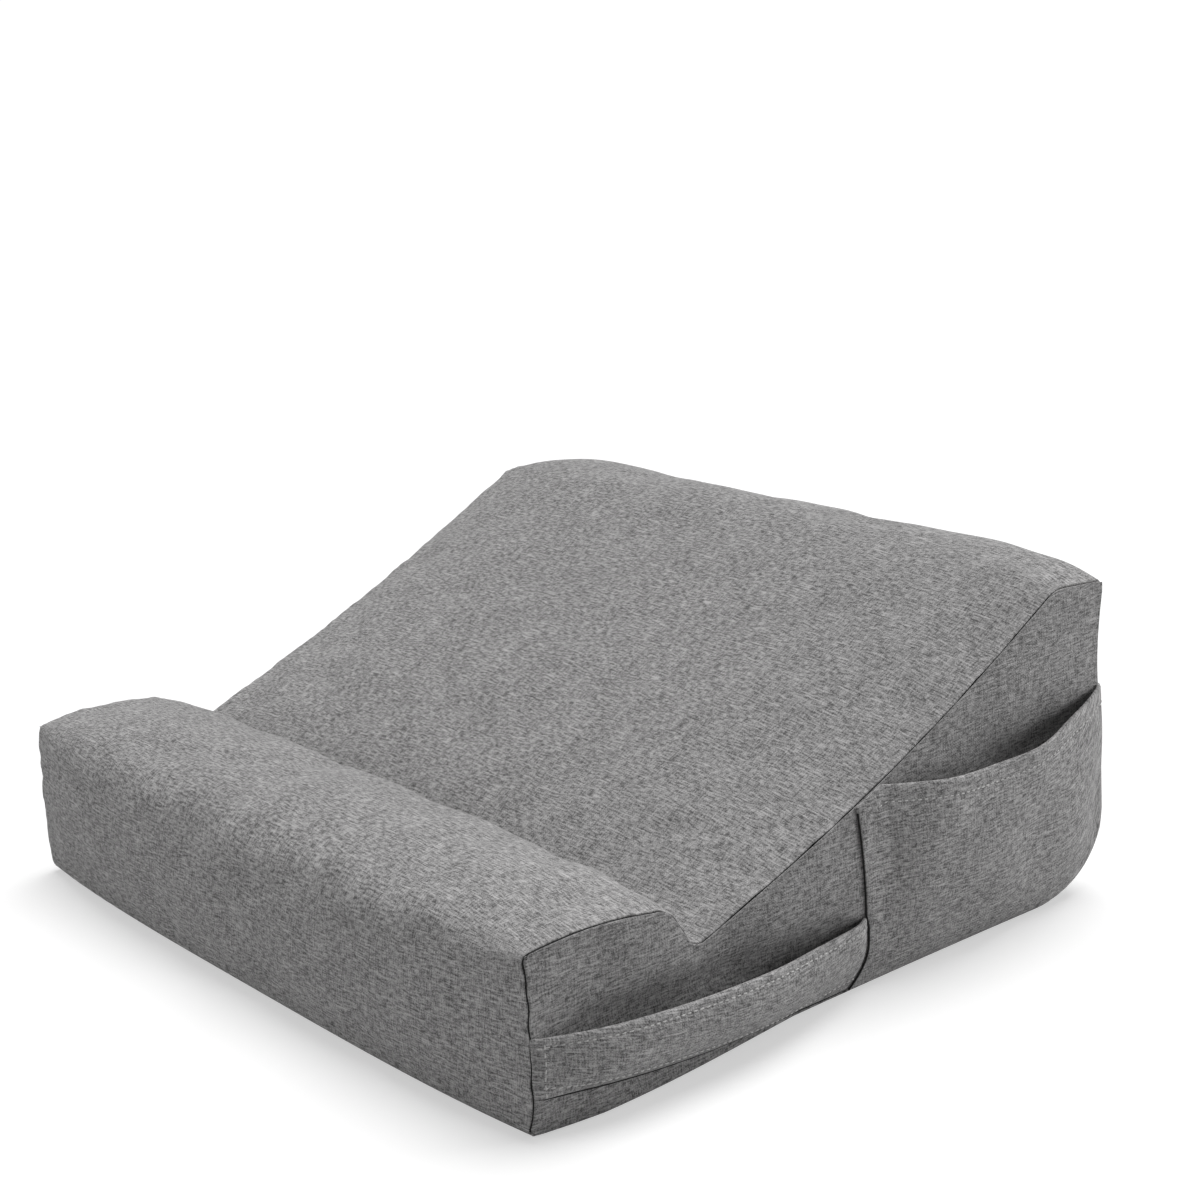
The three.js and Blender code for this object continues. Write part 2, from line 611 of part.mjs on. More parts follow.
const zip = new THREE.Group();
zip.position.set(0, zipY, zipZ);
part.add(zip);
const tapeEnd = sideX(zipY, zipZ) - foamInset - SEAM_GAP;
const stopStart = sliderX + SLIDER_LENGTH / 2 + RUN_GAP;
for (const [side, row] of [[1, 'upper'], [-1, 'lower']]) {
  const [low, high] = [tapeEdge, tapeEdge + TAPE_WIDTH].map((z) => side * z).sort((a, b) => a - b);
  const tape = plateGeometry(rectangle(-tapeEnd, tapeEnd, low, high), -TAPE_THICK / 2, TAPE_THICK / 2);
  add(zip, `zip_tape_${row}`, tape, tapeMaterial);
  add(zip, `zip_teeth_${row}`, teethGeometry(side), toothMaterial);
  const [near, far] = [SPINE_WIDTH, spineOuter].map((z) => side * z).sort((a, b) => a - b);
  const stop = rectangle(stopStart, stopStart + STOP_LENGTH, near, far);
  add(zip, `zip_top_stop_${row}`, plateGeometry(stop, -TOOTH_THICK / 2, TOOTH_THICK / 2), metalMaterial);
}
const endStopX = chainStart - SEAM_GAP;
const endStop = rectangle(endStopX - END_STOP_LENGTH, endStopX, -spineOuter, spineOuter);
add(zip, 'zip_bottom_stop', plateGeometry(endStop, -TOOTH_THICK / 2, TOOTH_THICK / 2), metalMaterial);

const slider = new THREE.Group();
slider.position.set(sliderX, 0, 0);
zip.add(slider);
add(slider, 'zip_slider', sliderGeometry(), metalMaterial);
add(slider, 'zip_pull', pullGeometry(), metalMaterial).position.set(0, pivotY, 0);

export default part;
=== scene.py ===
# %% [markdown]
# This lesson dresses a wedge cushion for the lap: a foam block in a heather grey woven cover, with a
# raised lip at the front, a groove behind it, a long slope, and two slip pockets on the right side.
# The packed solids are the fixed frame. Every new piece is built in metres in that same frame, so
# nothing has to be fitted afterwards.

# %% Load the frame
import json
import math
from collections import namedtuple

import bmesh
import bpy
import numpy as np
from mathutils import Matrix, Vector

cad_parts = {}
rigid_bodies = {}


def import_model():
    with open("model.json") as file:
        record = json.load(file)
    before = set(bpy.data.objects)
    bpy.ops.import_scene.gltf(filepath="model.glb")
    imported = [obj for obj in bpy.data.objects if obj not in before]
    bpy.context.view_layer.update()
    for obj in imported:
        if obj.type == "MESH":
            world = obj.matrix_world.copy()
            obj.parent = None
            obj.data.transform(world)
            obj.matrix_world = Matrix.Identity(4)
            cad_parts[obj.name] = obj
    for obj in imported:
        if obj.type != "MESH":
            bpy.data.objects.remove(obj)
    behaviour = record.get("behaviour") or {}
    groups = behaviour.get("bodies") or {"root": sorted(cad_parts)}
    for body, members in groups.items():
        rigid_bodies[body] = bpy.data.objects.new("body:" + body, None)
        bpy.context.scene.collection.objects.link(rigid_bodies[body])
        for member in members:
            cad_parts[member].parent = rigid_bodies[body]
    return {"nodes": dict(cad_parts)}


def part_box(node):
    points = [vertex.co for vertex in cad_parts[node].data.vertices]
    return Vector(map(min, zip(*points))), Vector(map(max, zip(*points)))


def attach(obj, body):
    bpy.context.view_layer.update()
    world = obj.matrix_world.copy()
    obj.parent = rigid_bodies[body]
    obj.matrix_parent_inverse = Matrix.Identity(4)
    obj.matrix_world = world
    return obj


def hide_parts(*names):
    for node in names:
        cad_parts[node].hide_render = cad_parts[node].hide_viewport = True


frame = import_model()
scene = bpy.context.scene
for spare in [o for o in scene.objects if o.name in ("Cube", "Light", "Camera")]:
    bpy.data.objects.remove(spare)
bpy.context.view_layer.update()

# %% [markdown]
# A sewn cover has no solid faces, only lines where cloth is held. All of the panels here follow one
# side outline, so that outline comes first: seven corners, each with a small radius at the side seams,
# where the cloth is pulled tight, and a larger one at mid width, where the foam rounds it off. The crown
# is how far the stuffing lifts the cloth there, and a high power keeps that lift up until near the seams.

# %% Side outline of the cushion
WIDTH, DEPTH = 0.395, 0.334
FRONT_FULLNESS, LIP_LEAN, BACK_TUCK = 0.003, 0.003, 0.003
FRONT, BACK = -DEPTH / 2 - FRONT_FULLNESS, DEPTH / 2
TUCKED_BACK = BACK - BACK_TUCK
LIP_FRONT, LIP_HEIGHT = FRONT + LIP_LEAN, 0.077
LIP_DEPTH, LIP_REAR_HEIGHT = 0.070, 0.074
LIP_REAR = LIP_FRONT + LIP_DEPTH
GROOVE_RUN, GROOVE_DROP = 0.013, 0.022
RIDGE_RUN, RIDGE_HEIGHT, BACK_HEIGHT = 0.033, 0.148, 0.1445
BACK_FOOT_RADIUS = 0.044
ZIP_MIDDLE, ZIP_HALF_OPENING, STRAIGHT_BACK_TOP = 0.0621, 0.007, 0.0822

# Of each corner: depth, height, radius at the seams, radius at mid width, crown, power
OUTLINE = np.array([
    [FRONT, 0.0, 0.006, 0.007, 0.0065, 3.5],
    [LIP_FRONT, LIP_HEIGHT, 0.004, 0.011, 0.004, 6.0],
    [LIP_REAR, LIP_REAR_HEIGHT, 0.014, 0.018, 0.005, 7.0],
    [LIP_REAR + GROOVE_RUN, LIP_REAR_HEIGHT - GROOVE_DROP, 0.006, 0.009, 0.0, 4.0],
    [BACK - RIDGE_RUN, RIDGE_HEIGHT, 0.016, 0.026, 0.008, 7.0],
    [BACK, BACK_HEIGHT, 0.005, 0.014, 0.009, 8.0],
    [TUCKED_BACK, 0.0, BACK_FOOT_RADIUS, BACK_FOOT_RADIUS, 0.0, 3.5],
])
BASE_FRONT, LIP_EDGE, LIP_BACK, GROOVE, RIDGE, TOP_BACK, BASE_BACK = range(7)
CORNERS = OUTLINE[:, :2]
SEAM_RADII, MIDDLE_RADII, CROWNS, SWELL_POWERS = OUTLINE[:, 2:].T


def unit(vectors):
    return vectors / np.maximum(np.linalg.norm(vectors, axis=-1, keepdims=True), 1e-12)


def ramp(t):
    return np.clip(t, 0, 1)


def smooth_ramp(t):
    t = ramp(t)
    return t * t * (3 - 2 * t)


def bell(t):
    return np.sin(np.pi * ramp(t))


def hill(distance, width):
    return np.exp(-(distance / width) ** 2)


def between(start, end, shares):
    return start + (end - start) * shares[:, None]


def arc(index, radius, shares):
    corner = CORNERS[index]
    before = CORNERS[index - 1] if index != BASE_BACK else np.array([TUCKED_BACK, BACK_HEIGHT])
    back = unit(before - corner)
    ahead = unit(CORNERS[(index + 1) % len(CORNERS)] - corner)
    half = math.acos(float(np.clip(back @ ahead, -1, 1))) / 2
    centre = corner + unit(back + ahead) * radius / math.sin(half)
    first, last = (corner + side * radius / math.tan(half) - centre for side in (back, ahead))
    start = math.atan2(first[1], first[0])
    sweep = (math.atan2(last[1], last[0]) - start + math.pi) % (2 * math.pi) - math.pi
    angle = start + sweep * np.asarray(shares)
    return centre + radius * np.stack([np.cos(angle), np.sin(angle)], axis=-1)


def normals_of(line):
    along = np.gradient(line, axis=0)
    return unit(np.stack([-along[:, 1], along[:, 0]], axis=-1))


print("outline of", len(CORNERS), "corners")

# %% [markdown]
# Foam is never quite even under cloth, and a sewn edge always puckers a little. Sums of a few fixed waves
# give both: long shallow ones for the foam, short ones for the puckers, always the same for one seed.

# %% Uneven foam and puckered edges


def ripples(first, second, length, seed, waves=14):
    rng = np.random.default_rng(seed)
    total = np.zeros(np.broadcast(first, second).shape)
    for _ in range(waves):
        angle, phase = rng.uniform(0, 2 * np.pi, 2)
        step = 2 * np.pi / (length * rng.uniform(0.7, 1.5))
        total += np.sin((first * np.cos(angle) + second * np.sin(angle)) * step + phase)
    return total / math.sqrt(waves / 2)


def run_length(points):
    steps = np.linalg.norm(np.diff(points, axis=0), axis=-1)
    return np.concatenate([np.zeros((1,) + steps.shape[1:]), np.cumsum(steps, axis=0)])


def grid_normals(points):
    return unit(np.cross(np.gradient(points, axis=0), np.gradient(points, axis=1)))


wave_sample = ripples(np.linspace(0, 1, 500), np.zeros(500), 0.05, 3)
print("highest of the summed waves", round(float(np.abs(wave_sample).max()), 2))

# %% [markdown]
# The long top panel runs from the front hem over the lip, down into the groove, up the slope, over the
# ridge and down the back to the zip. Each share of the half width gets its own line, because the stuffing
# swells the middle and the side seams hold the ends down.

# %% Lines of the top panel
BEND_STEPS = 9
# Of each face: the corner that it runs to, its steps, its swell at mid width, its dip at the seams
TOP_FACES = [
    (LIP_EDGE, 28, 0.003, 0.0),
    (LIP_BACK, 24, 0.0025, -0.0025),
    (GROOVE, 6, 0.0, 0.0),
    (RIDGE, 84, 0.0015, 0.005),
    (TOP_BACK, 9, 0.001, 0.0),
]
BACK_STEPS, STRAIGHT_STEPS = 22, 5
BACK_SWELL, BACK_DIP = 0.002, 0.0025
HEM_STEPS, HEM_START = 3, 0.74
RISE = HEM_STEPS + TOP_FACES[0][1]
RADIUS_POWER = 3.5
FRONT_WAVE, FRONT_WAVE_LENGTH, FRONT_STEP, FRONT_HELD_STEPS = 0.0003, 0.024, 0.0025, 8


def swollen(line, crowns, dips, soft):
    normals = normals_of(line)
    push = normals.copy()
    push[:HEM_STEPS] = (-1, 0)
    return line + push * ((dips + crowns) * soft - dips)[:, None], normals


def corner_radii(share):
    return SEAM_RADII + (MIDDLE_RADII - SEAM_RADII) * (1 - abs(share) ** RADIUS_POWER)


def top_line(share):
    radii = corner_radii(share)
    runs = []

    def lay(points, crowns, dips, powers):
        runs.append([points] + [values + np.zeros(len(points)) for values in (crowns, dips, powers)])
        return points[-1]

    hem = arc(BASE_FRONT, radii[BASE_FRONT], np.linspace(HEM_START, 1, HEM_STEPS))
    place = lay(hem, CROWNS[BASE_FRONT], 0.0, SWELL_POWERS[BASE_FRONT])
    last = BASE_FRONT
    for corner, steps, swell, dip in TOP_FACES:
        bend = arc(corner, radii[corner], np.linspace(0, 1, BEND_STEPS))
        t = np.linspace(0, 1, steps + 2)[1:-1]
        crown = CROWNS[last] + (CROWNS[corner] - CROWNS[last]) * t + swell * bell(t)
        power = SWELL_POWERS[last] + (SWELL_POWERS[corner] - SWELL_POWERS[last]) * t
        lay(between(place, bend[0], t), crown, dip * bell(t), power)
        place = lay(bend, CROWNS[corner], 0.0, SWELL_POWERS[corner])
        last = corner
    low = np.array([TUCKED_BACK, STRAIGHT_BACK_TOP])
    t = np.linspace(0, 1, BACK_STEPS + 1)[1:]
    crown = CROWNS[last] * (1 - t) + BACK_SWELL * bell(t)
    lay(between(place, low, t), crown, BACK_DIP * bell(t), SWELL_POWERS[BASE_BACK])
    edge = np.array([TUCKED_BACK, ZIP_MIDDLE + ZIP_HALF_OPENING])
    t = np.linspace(0, 1, STRAIGHT_STEPS + 1)[1:]
    lay(between(low, edge, t), 0.0, 0.0, SWELL_POWERS[BASE_BACK])
    line, crowns, dips, powers = (np.concatenate(rows) for rows in zip(*runs))
    steps = np.arange(len(line))
    loose = ramp(steps / FRONT_HELD_STEPS) * ramp((RISE - steps) / FRONT_HELD_STEPS)
    wave = ripples(steps * FRONT_STEP, 0 * steps, FRONT_WAVE_LENGTH, 61)
    return swollen(line, crowns, dips + FRONT_WAVE * loose * wave, 1 - abs(share) ** powers)


seam_top, seam_top_normals = top_line(1.0)
print("top seam", len(seam_top), "points")

# %% [markdown]
# The base panel starts at the lower edge of the zip, turns under the back and runs forward to the front
# hem. The stuffing moves only its front part, and only forward, because the floor keeps it flat.

# %% Lines of the base panel
TURN_STEPS, BASE_STEPS = 18, 90


def base_line(share):
    soft = 1 - abs(share) ** SWELL_POWERS[BASE_FRONT]
    radii = corner_radii(share)
    turn = arc(BASE_BACK, radii[BASE_BACK], np.linspace(0, 1, TURN_STEPS))
    edge = np.array([TUCKED_BACK, ZIP_MIDDLE - ZIP_HALF_OPENING])
    lower = between(edge, turn[0], np.linspace(0, 1, STRAIGHT_STEPS + 1)[:-1])
    hem = arc(BASE_FRONT, radii[BASE_FRONT], np.linspace(0, 1 - HEM_START, HEM_STEPS))
    flat = between(turn[-1], hem[0], np.linspace(0, 1, BASE_STEPS + 2)[1:-1])
    line = np.concatenate([lower, turn, flat, hem])
    normals = normals_of(line)
    forward = ramp((BACK - line[:, 0]) / DEPTH) ** 2
    line[:, 0] -= CROWNS[BASE_FRONT] * soft * forward
    return line, normals


seam_base, seam_base_normals = base_line(1.0)
print("base seam", len(seam_base), "points")

# %% [markdown]
# The side walls lean and bow a little because the foam pushes them out between their seams. They widen at
# the lip, tuck in at the front bottom corner, and pucker along the front seam. One function gives how far
# a wall stands from the middle, and the panels, pockets and seam threads all ask it, so they stay in
# contact wherever they meet.

# %% Reach of the side walls
BEND_ENDS = np.cumsum([HEM_STEPS] + [steps + BEND_STEPS for _, steps, _, _ in TOP_FACES])
LIP_TURN = RISE + BEND_STEPS // 2
TOP_TURN = BEND_ENDS[-1] - 1 - BEND_STEPS // 2
BASE_TURN = STRAIGHT_STEPS + TURN_STEPS // 2
SETBACK = 0.0017
BOW_HALF_LENGTH, FOOT_INSET, TOP_LEAN, MID_SWELL = 0.159, 0.003, 0.007, 0.013
LIP_START, LIP_RUN, LIP_SPREAD, LIP_SWELL = -0.06, 0.1, 0.002, 0.002
FOOT_RUN, FOOT_SWELL = 0.14, 0.0045
TUCK_START, TUCK_RUN, TUCK_HEIGHT, CORNER_TUCK = -0.135, 0.03, 0.012, 0.003
PUCKER_START, PUCKER_RUN, PUCKER_LENGTH, SEAM_PUCKER = -0.150, 0.012, 0.012, 0.00045


def seam_height(y):
    rim = seam_top[RISE:BEND_ENDS[-1]]
    return np.interp(y, rim[:, 0], rim[:, 1])


def side_reach(y, z):
    up = ramp(z / seam_height(y))
    along = 1 - np.minimum(1, np.abs(y) / BOW_HALF_LENGTH) ** 2
    bow = along * (-FOOT_INSET + TOP_LEAN * up + MID_SWELL * up * (1 - up))
    lip = smooth_ramp((LIP_START - y) / LIP_RUN) * (LIP_SPREAD + LIP_SWELL * bell(up))
    foot = FOOT_SWELL * bell((y - FRONT) / FOOT_RUN) * (1 - up) ** 3
    tuck = CORNER_TUCK * ramp((TUCK_START - y) / TUCK_RUN) * ramp(1 - z / TUCK_HEIGHT) ** 2
    pucker = SEAM_PUCKER * ramp((PUCKER_START - y) / PUCKER_RUN) * ripples(z, 0 * y, PUCKER_LENGTH, 71)
    return WIDTH / 2 + bow + lip + foot - tuck + pucker


print("side wall reach at mid depth", round(float(side_reach(0.0, 0.05)) * 1000, 1), "mm")

# %% [markdown]
# At a seam, cloth rolls inwards over its last millimetre and disappears between the two panels. Each panel
# is therefore a grid of points with a few more rings round its border that follow that roll. Drawing only
# a dark line would look printed on as soon as the view changes.

# %% Turned edges and cloth meshes
ROLL = (0.2, 0.4, 0.6, 0.8, 1.0)
ROLL_FULLNESS, ROLL_DEPTH, SEAM_SLIT = 0.78, 0.003, 0.00015
RING_STEP = 0.0006


def turned(outward, inward, setback=SETBACK, depth=ROLL_DEPTH):
    corner = outward * setback
    lean = corner * ROLL_FULLNESS
    foot = corner + inward * depth * 0.5 - outward * SEAM_SLIT
    rings = [2 * t * (1 - t) * lean + t * t * foot for t in ROLL]
    return np.array(rings + [corner + inward * depth - outward * SEAM_SLIT])


def bordered(points, uv, low_u, high_u, low_v, high_v, corner=1.0):
    k = len(low_u)
    rows, columns = points.shape[:2]
    row, column = np.arange(rows + 2 * k) - k, np.arange(columns + 2 * k) - k
    pick_row, pick_column = np.clip(row, 0, rows - 1), np.clip(column, 0, columns - 1)
    grown, sheet_uv = points[pick_row][:, pick_column], uv[pick_row][:, pick_column]
    row_share = np.where(pick_column == column, 1.0, corner)[:, None]
    column_share = np.where(pick_row == row, 1.0, corner)[:, None]
    for r in range(k):
        low, high_row, high_column = k - 1 - r, rows + k + r, columns + k + r
        grown[low] += low_u[r][pick_column] * row_share
        grown[high_row] += high_u[r][pick_column] * row_share
        grown[:, low] += low_v[r][pick_row] * column_share
        grown[:, high_column] += high_v[r][pick_row] * column_share
        reach = RING_STEP * (r + 1)
        sheet_uv[low, :, 0] -= reach
        sheet_uv[high_row, :, 0] += reach
        sheet_uv[:, low, 1] -= reach
        sheet_uv[:, high_column, 1] += reach
    return grown, sheet_uv


def added(name, mesh):
    piece = bpy.data.objects.new(name, mesh)
    scene.collection.objects.link(piece)
    return piece


def cloth_mesh(name, points, uv, facing):
    rows, columns = points.shape[:2]
    index = np.arange(rows * columns).reshape(rows, columns)
    quads = np.stack([index[:-1, :-1], index[1:, :-1], index[1:, 1:], index[:-1, 1:]], axis=-1)
    middle = grid_normals(points)[rows // 2, columns // 2]
    if middle @ np.asarray(facing, float) < 0:
        quads = quads[..., ::-1]
    mesh = bpy.data.meshes.new(name)
    mesh.from_pydata(points.reshape(-1, 3).tolist(), [], quads.reshape(-1, 4).tolist())
    corner_of = np.zeros(len(mesh.loops), dtype=np.int64)
    mesh.loops.foreach_get("vertex_index", corner_of)
    layer = mesh.uv_layers.new(name="weave")
    layer.data.foreach_set("uv", uv.reshape(-1, 2)[corner_of].ravel())
    mesh.polygons.foreach_set("use_smooth", np.ones(len(mesh.polygons), dtype=bool))
    print(name, len(mesh.polygons), "faces")
    return added(name, mesh)


def thicken(piece, thickness):
    solid = piece.modifiers.new("cloth thickness", "SOLIDIFY")
    solid.thickness = thickness
    solid.offset = -1.0
    return piece


print("a turned edge has", len(ROLL) + 1, "rings")

# %% [markdown]
# Stuffed cloth finds its own shape: it is a little longer than the foam under it, so it lifts between its
# seams and wrinkles where they hold it. Blender's Cloth does that on a coarse copy of a panel, with its
# borders pinned and a light pressure from inside. Only the movement is kept, capped, and is then spread
# over the fine grid, so the seams stay exactly where they are sewn.

# %% Let the cloth settle
SETTLE_FRAMES, COARSE_STEP = 20, 2
PRESSURE, SLACK, LARGEST_MOVE = 2.0, 0.0015, 0.0045
CLOTH_RULES = {
    "quality": 6,
    "mass": 0.15,
    "tension_stiffness": 20.0,
    "compression_stiffness": 20.0,
    "shear_stiffness": 8.0,
    "bending_stiffness": 0.4,
    "vertex_group_mass": "held",
    "shrink_min": -SLACK,
    "use_pressure": True,
    "uniform_pressure_force": PRESSURE,
}


def coarse_rows(count):
    return np.unique(np.append(np.arange(0, count, COARSE_STEP), count - 1))


def spread_back(moved, picked, count):
    flat = moved.reshape(len(picked), -1)
    spread = [np.interp(np.arange(count), picked, values) for values in flat.T]
    return np.stack(spread, axis=-1).reshape(count, *moved.shape[1:])


def settled(points, facing, hold):
    rows, columns = points.shape[:2]
    row_pick, column_pick = coarse_rows(rows), coarse_rows(columns)
    coarse = points[row_pick][:, column_pick]
    held = hold[row_pick][:, column_pick].ravel()
    piece = cloth_mesh("settling cloth", coarse, coarse[..., :2], facing[rows // 2, columns // 2])
    group = piece.vertex_groups.new(name="held")
    for index, weight in enumerate(held.tolist()):
        group.add([index], weight, "REPLACE")
    cloth = piece.modifiers.new("cloth", "CLOTH")
    for rule, value in CLOTH_RULES.items():
        setattr(cloth.settings, rule, value)
    cloth.settings.effector_weights.gravity = 0.0
    cloth.collision_settings.use_collision = False
    cloth.point_cache.frame_start = 1
    cloth.point_cache.frame_end = SETTLE_FRAMES
    for number in range(1, SETTLE_FRAMES + 1):
        scene.frame_set(number)
    ready = piece.evaluated_get(bpy.context.evaluated_depsgraph_get())
    found = np.zeros(len(ready.data.vertices) * 3)
    ready.data.vertices.foreach_get("co", found)
    moved = found.reshape(coarse.shape) - coarse
    bpy.data.objects.remove(piece)
    scene.frame_set(1)
    length = np.linalg.norm(moved, axis=-1, keepdims=True)
    moved = moved * np.minimum(1, LARGEST_MOVE / np.maximum(length, 1e-9))
    print("settled", len(held), "points, moved", round(float(length.mean()) * 1000, 2), "mm on average,",
          round(float(length.max()) * 1000, 2), "mm at most")
    across = spread_back(moved.transpose(1, 0, 2), column_pick, columns).transpose(1, 0, 2)
    return spread_back(across, row_pick, rows)


print("cloth settles for", SETTLE_FRAMES, "frames")

# %% [markdown]
# The top panel is the longest piece of cloth. Its columns crowd towards the side seams, because that is
# where the surface bends most, and its rows crowd at every corner of the outline. Shallow dents, puckers
# at the seams and a crease under the lip's front edge come first, and then the cloth settles.

# %% Top panel
COLUMNS, SEAM_CROWDING = 121, 0.3
CLOTH, SEAM_ALLOWANCE = 0.0009, 0.01
DENTS = [(0.0004, 0.055, 3), (0.00015, 0.024, 4)]
EDGE_PUCKER, EDGE_PUCKER_LENGTH, EDGE_PUCKER_FADE, EDGE_PUCKER_SLANT = 0.0002, 0.0085, 0.006, 0.15
CREASE_ROLL, CREASE_ROLL_WIDTH, CREASE_FOLD, CREASE_FOLD_WIDTH = 0.0006, 0.005, 0.0011, 0.0035
CREASE_DROP, CREASE_SHARE, CREASE_CHANGE, CREASE_CHANGE_LENGTH, CREASE_LARGEST = 0.009, 0.7, 0.45, 0.07, 1.5
HEM_RAMP, ZIP_RAMP, SEAM_RAMP = 0.02, 0.04, 0.02
LOOSE, HALF_HELD, HELD = 0.11, 0.6, 1.0
GROOVE_HALF_HELD, GROOVE_HELD = 9, 4
shares = np.linspace(-1, 1, COLUMNS)
shares = shares * (1 + SEAM_CROWDING - SEAM_CROWDING * shares ** 2)


def wide_strip(line_of):
    lines = [line_of(share) for share in shares]
    flat = np.stack([line for line, _ in lines], axis=1)
    normals = np.stack([normal for _, normal in lines], axis=1)
    y, z = flat[..., 0], flat[..., 1]
    x = shares * (side_reach(y, z) - SETBACK)
    points = np.stack([x, y, z], axis=-1)
    outward = np.concatenate([np.zeros_like(x)[..., None], normals], axis=-1)
    return points, outward, run_length(points).mean(axis=1)[:, None] + 0 * x


def strip_panel(name, points, outward, run, facing):
    sideways = np.zeros_like(outward[:, 0])
    sideways[:, 0] = 1.0
    left = turned(-sideways, -unit(outward[:, 0] - sideways))
    right = turned(sideways, -unit(outward[:, -1] + sideways))
    start = turned(unit(points[0] - points[1]), -outward[0])
    end = turned(unit(points[-1] - points[-2]), -outward[-1])
    grown, uv = bordered(points, np.stack([run, points[..., 0]], axis=-1), start, end, left, right)
    cut = (WIDTH + 2 * SEAM_ALLOWANCE, float(run.max()) + 2 * SEAM_ALLOWANCE)
    print(name, "cut", [round(v, 3) for v in cut], "m")
    return thicken(cloth_mesh(name, grown, uv, facing), CLOTH), cut


top_points, top_outward, top_u = wide_strip(top_line)
top_v = top_points[..., 0]
edge_share = ramp(1 - np.abs(shares))[None, :] * WIDTH / 2
dents = sum(height * ripples(top_u, top_v, length, seed) for height, length, seed in DENTS)
puckers = EDGE_PUCKER * ripples(top_u, top_v * EDGE_PUCKER_SLANT, EDGE_PUCKER_LENGTH, 5)
puckers = puckers * np.exp(-edge_share / EDGE_PUCKER_FADE)
above_crease = top_u - top_u[RISE] + CREASE_DROP
crease = CREASE_ROLL * hill(above_crease - CREASE_DROP, CREASE_ROLL_WIDTH)
crease = crease - CREASE_FOLD * hill(above_crease, CREASE_FOLD_WIDTH)
change = CREASE_CHANGE * ripples(top_v, 0 * top_v, CREASE_CHANGE_LENGTH, 6)
crease = crease * np.clip(CREASE_SHARE + change, 0, CREASE_LARGEST)
free = ramp(top_u / HEM_RAMP) * ramp((top_u.max() - top_u) / ZIP_RAMP)
uneven = (dents + crease) * ramp(edge_share / SEAM_RAMP) + puckers
top_points = top_points + top_outward * (uneven * free)[..., None]
held_share = np.full(top_u.shape, LOOSE)
from_groove = np.abs(np.arange(len(top_u)) - (BEND_ENDS[GROOVE] - BEND_STEPS // 2 - 1))
held_share[from_groove < GROOVE_HALF_HELD] = HALF_HELD
held_share[from_groove < GROOVE_HELD] = HELD
held_share[[0, 1, -1, -2, -3, -4]] = HELD
held_share[:, [0, 1, -1, -2]] = HELD
top_points = top_points + settled(top_points, top_outward, held_share)
cover_top, TOP_CUT = strip_panel("cover_top", top_points, top_outward, top_u, (0, 0, 1))

# %% [markdown]
# The base panel is what the cushion stands on. It runs from the lower edge of the zip round the back bottom
# corner to the front hem, and stays flat where the floor holds it.

# %% Base panel
base_points, base_outward, base_u = wide_strip(base_line)
cover_base, BASE_CUT = strip_panel("cover_base", base_points, base_outward, base_u, (0, 0, -1))

# %% [markdown]
# The lines of the two pockets come before the side wall that they are sewn to, because the wall is hollow
# behind each mouth. The front pocket's foot and mouth slope, and a seam that curves forward at the bottom
# parts the two pockets. Each share of a pocket's length has a foot, a mouth and a degree of opening.

# %% Lines of the pockets
POCKET_FRONT, POCKET_REAR = -0.1675, 0.1630
SEAM_START, SEWN_END, EAR_HEIGHT = 0.012, 0.0185, 0.09
SEAM_LEAN, SEAM_CURL, SEAM_CURL_HEIGHT = 0.08, 0.015, 0.022
FOOT_HEIGHT, FOOT_RISE, FOOT_POWER = 0.0035, 0.0155, 2.2
MOUTH_HEIGHT, MOUTH_FALL, MOUTH_SAG = 0.0425, 0.009, 0.0015
REAR_FOOT_HEIGHT, REAR_MOUTH_HEIGHT, REAR_MOUTH_SAG = 0.0022, 0.0955, 0.0080


def pocket_seam(z):
    return SEAM_START - SEAM_LEAN * z - SEAM_CURL * ramp(1 - z / SEAM_CURL_HEIGHT) ** 2


def base_height(y):
    over = np.clip(y - (TUCKED_BACK - BACK_FOOT_RADIUS), 0, BACK_FOOT_RADIUS - 0.0001)
    return BACK_FOOT_RADIUS - np.sqrt(BACK_FOOT_RADIUS ** 2 - over ** 2)


def front_pocket_rims(s):
    foot = FOOT_HEIGHT + FOOT_RISE * (1 - s) ** FOOT_POWER
    mouth = MOUTH_HEIGHT - MOUTH_FALL * s - MOUTH_SAG * bell(s)
    return foot, mouth, s


def rear_pocket_rims(s):
    first = pocket_seam(EAR_HEIGHT)
    y = first + (POCKET_REAR - first) * s
    opening = ramp((y - SEWN_END) / (POCKET_REAR - SEWN_END))
    sewn = seam_height(SEWN_END) - SETBACK
    mouth = sewn + (REAR_MOUTH_HEIGHT - sewn) * opening - REAR_MOUTH_SAG * bell(opening)
    mouth = np.where(y < SEWN_END, seam_height(y) - SETBACK, mouth)
    return base_height(y) + REAR_FOOT_HEIGHT, mouth, opening


print("front pocket mouth", [round(float(v), 4) for v in front_pocket_rims(np.array([0, 0.5, 1]))[1]], "m")

# %% [markdown]
# A side panel is a flat cut of cloth with a curved rim. Its four edges come from the seams of the top and
# base panels: front, rim, back and foot. Each point keeps the direction that is outward there, along which
# the cloth later turns in.

# %% Edges of the side panels


def even_samples(points, normals, count):
    length = run_length(points)
    stops = np.linspace(0, length[-1], count)
    pick = [np.interp(stops, length, values) for values in (*points.T, *normals.T)]
    return np.stack(pick[:2], axis=-1), unit(np.stack(pick[2:], axis=-1))


def joined(*runs):
    return tuple(np.concatenate(rows) for rows in zip(*runs))


def part_of(line, normals, rows):
    return line[rows], normals[rows]


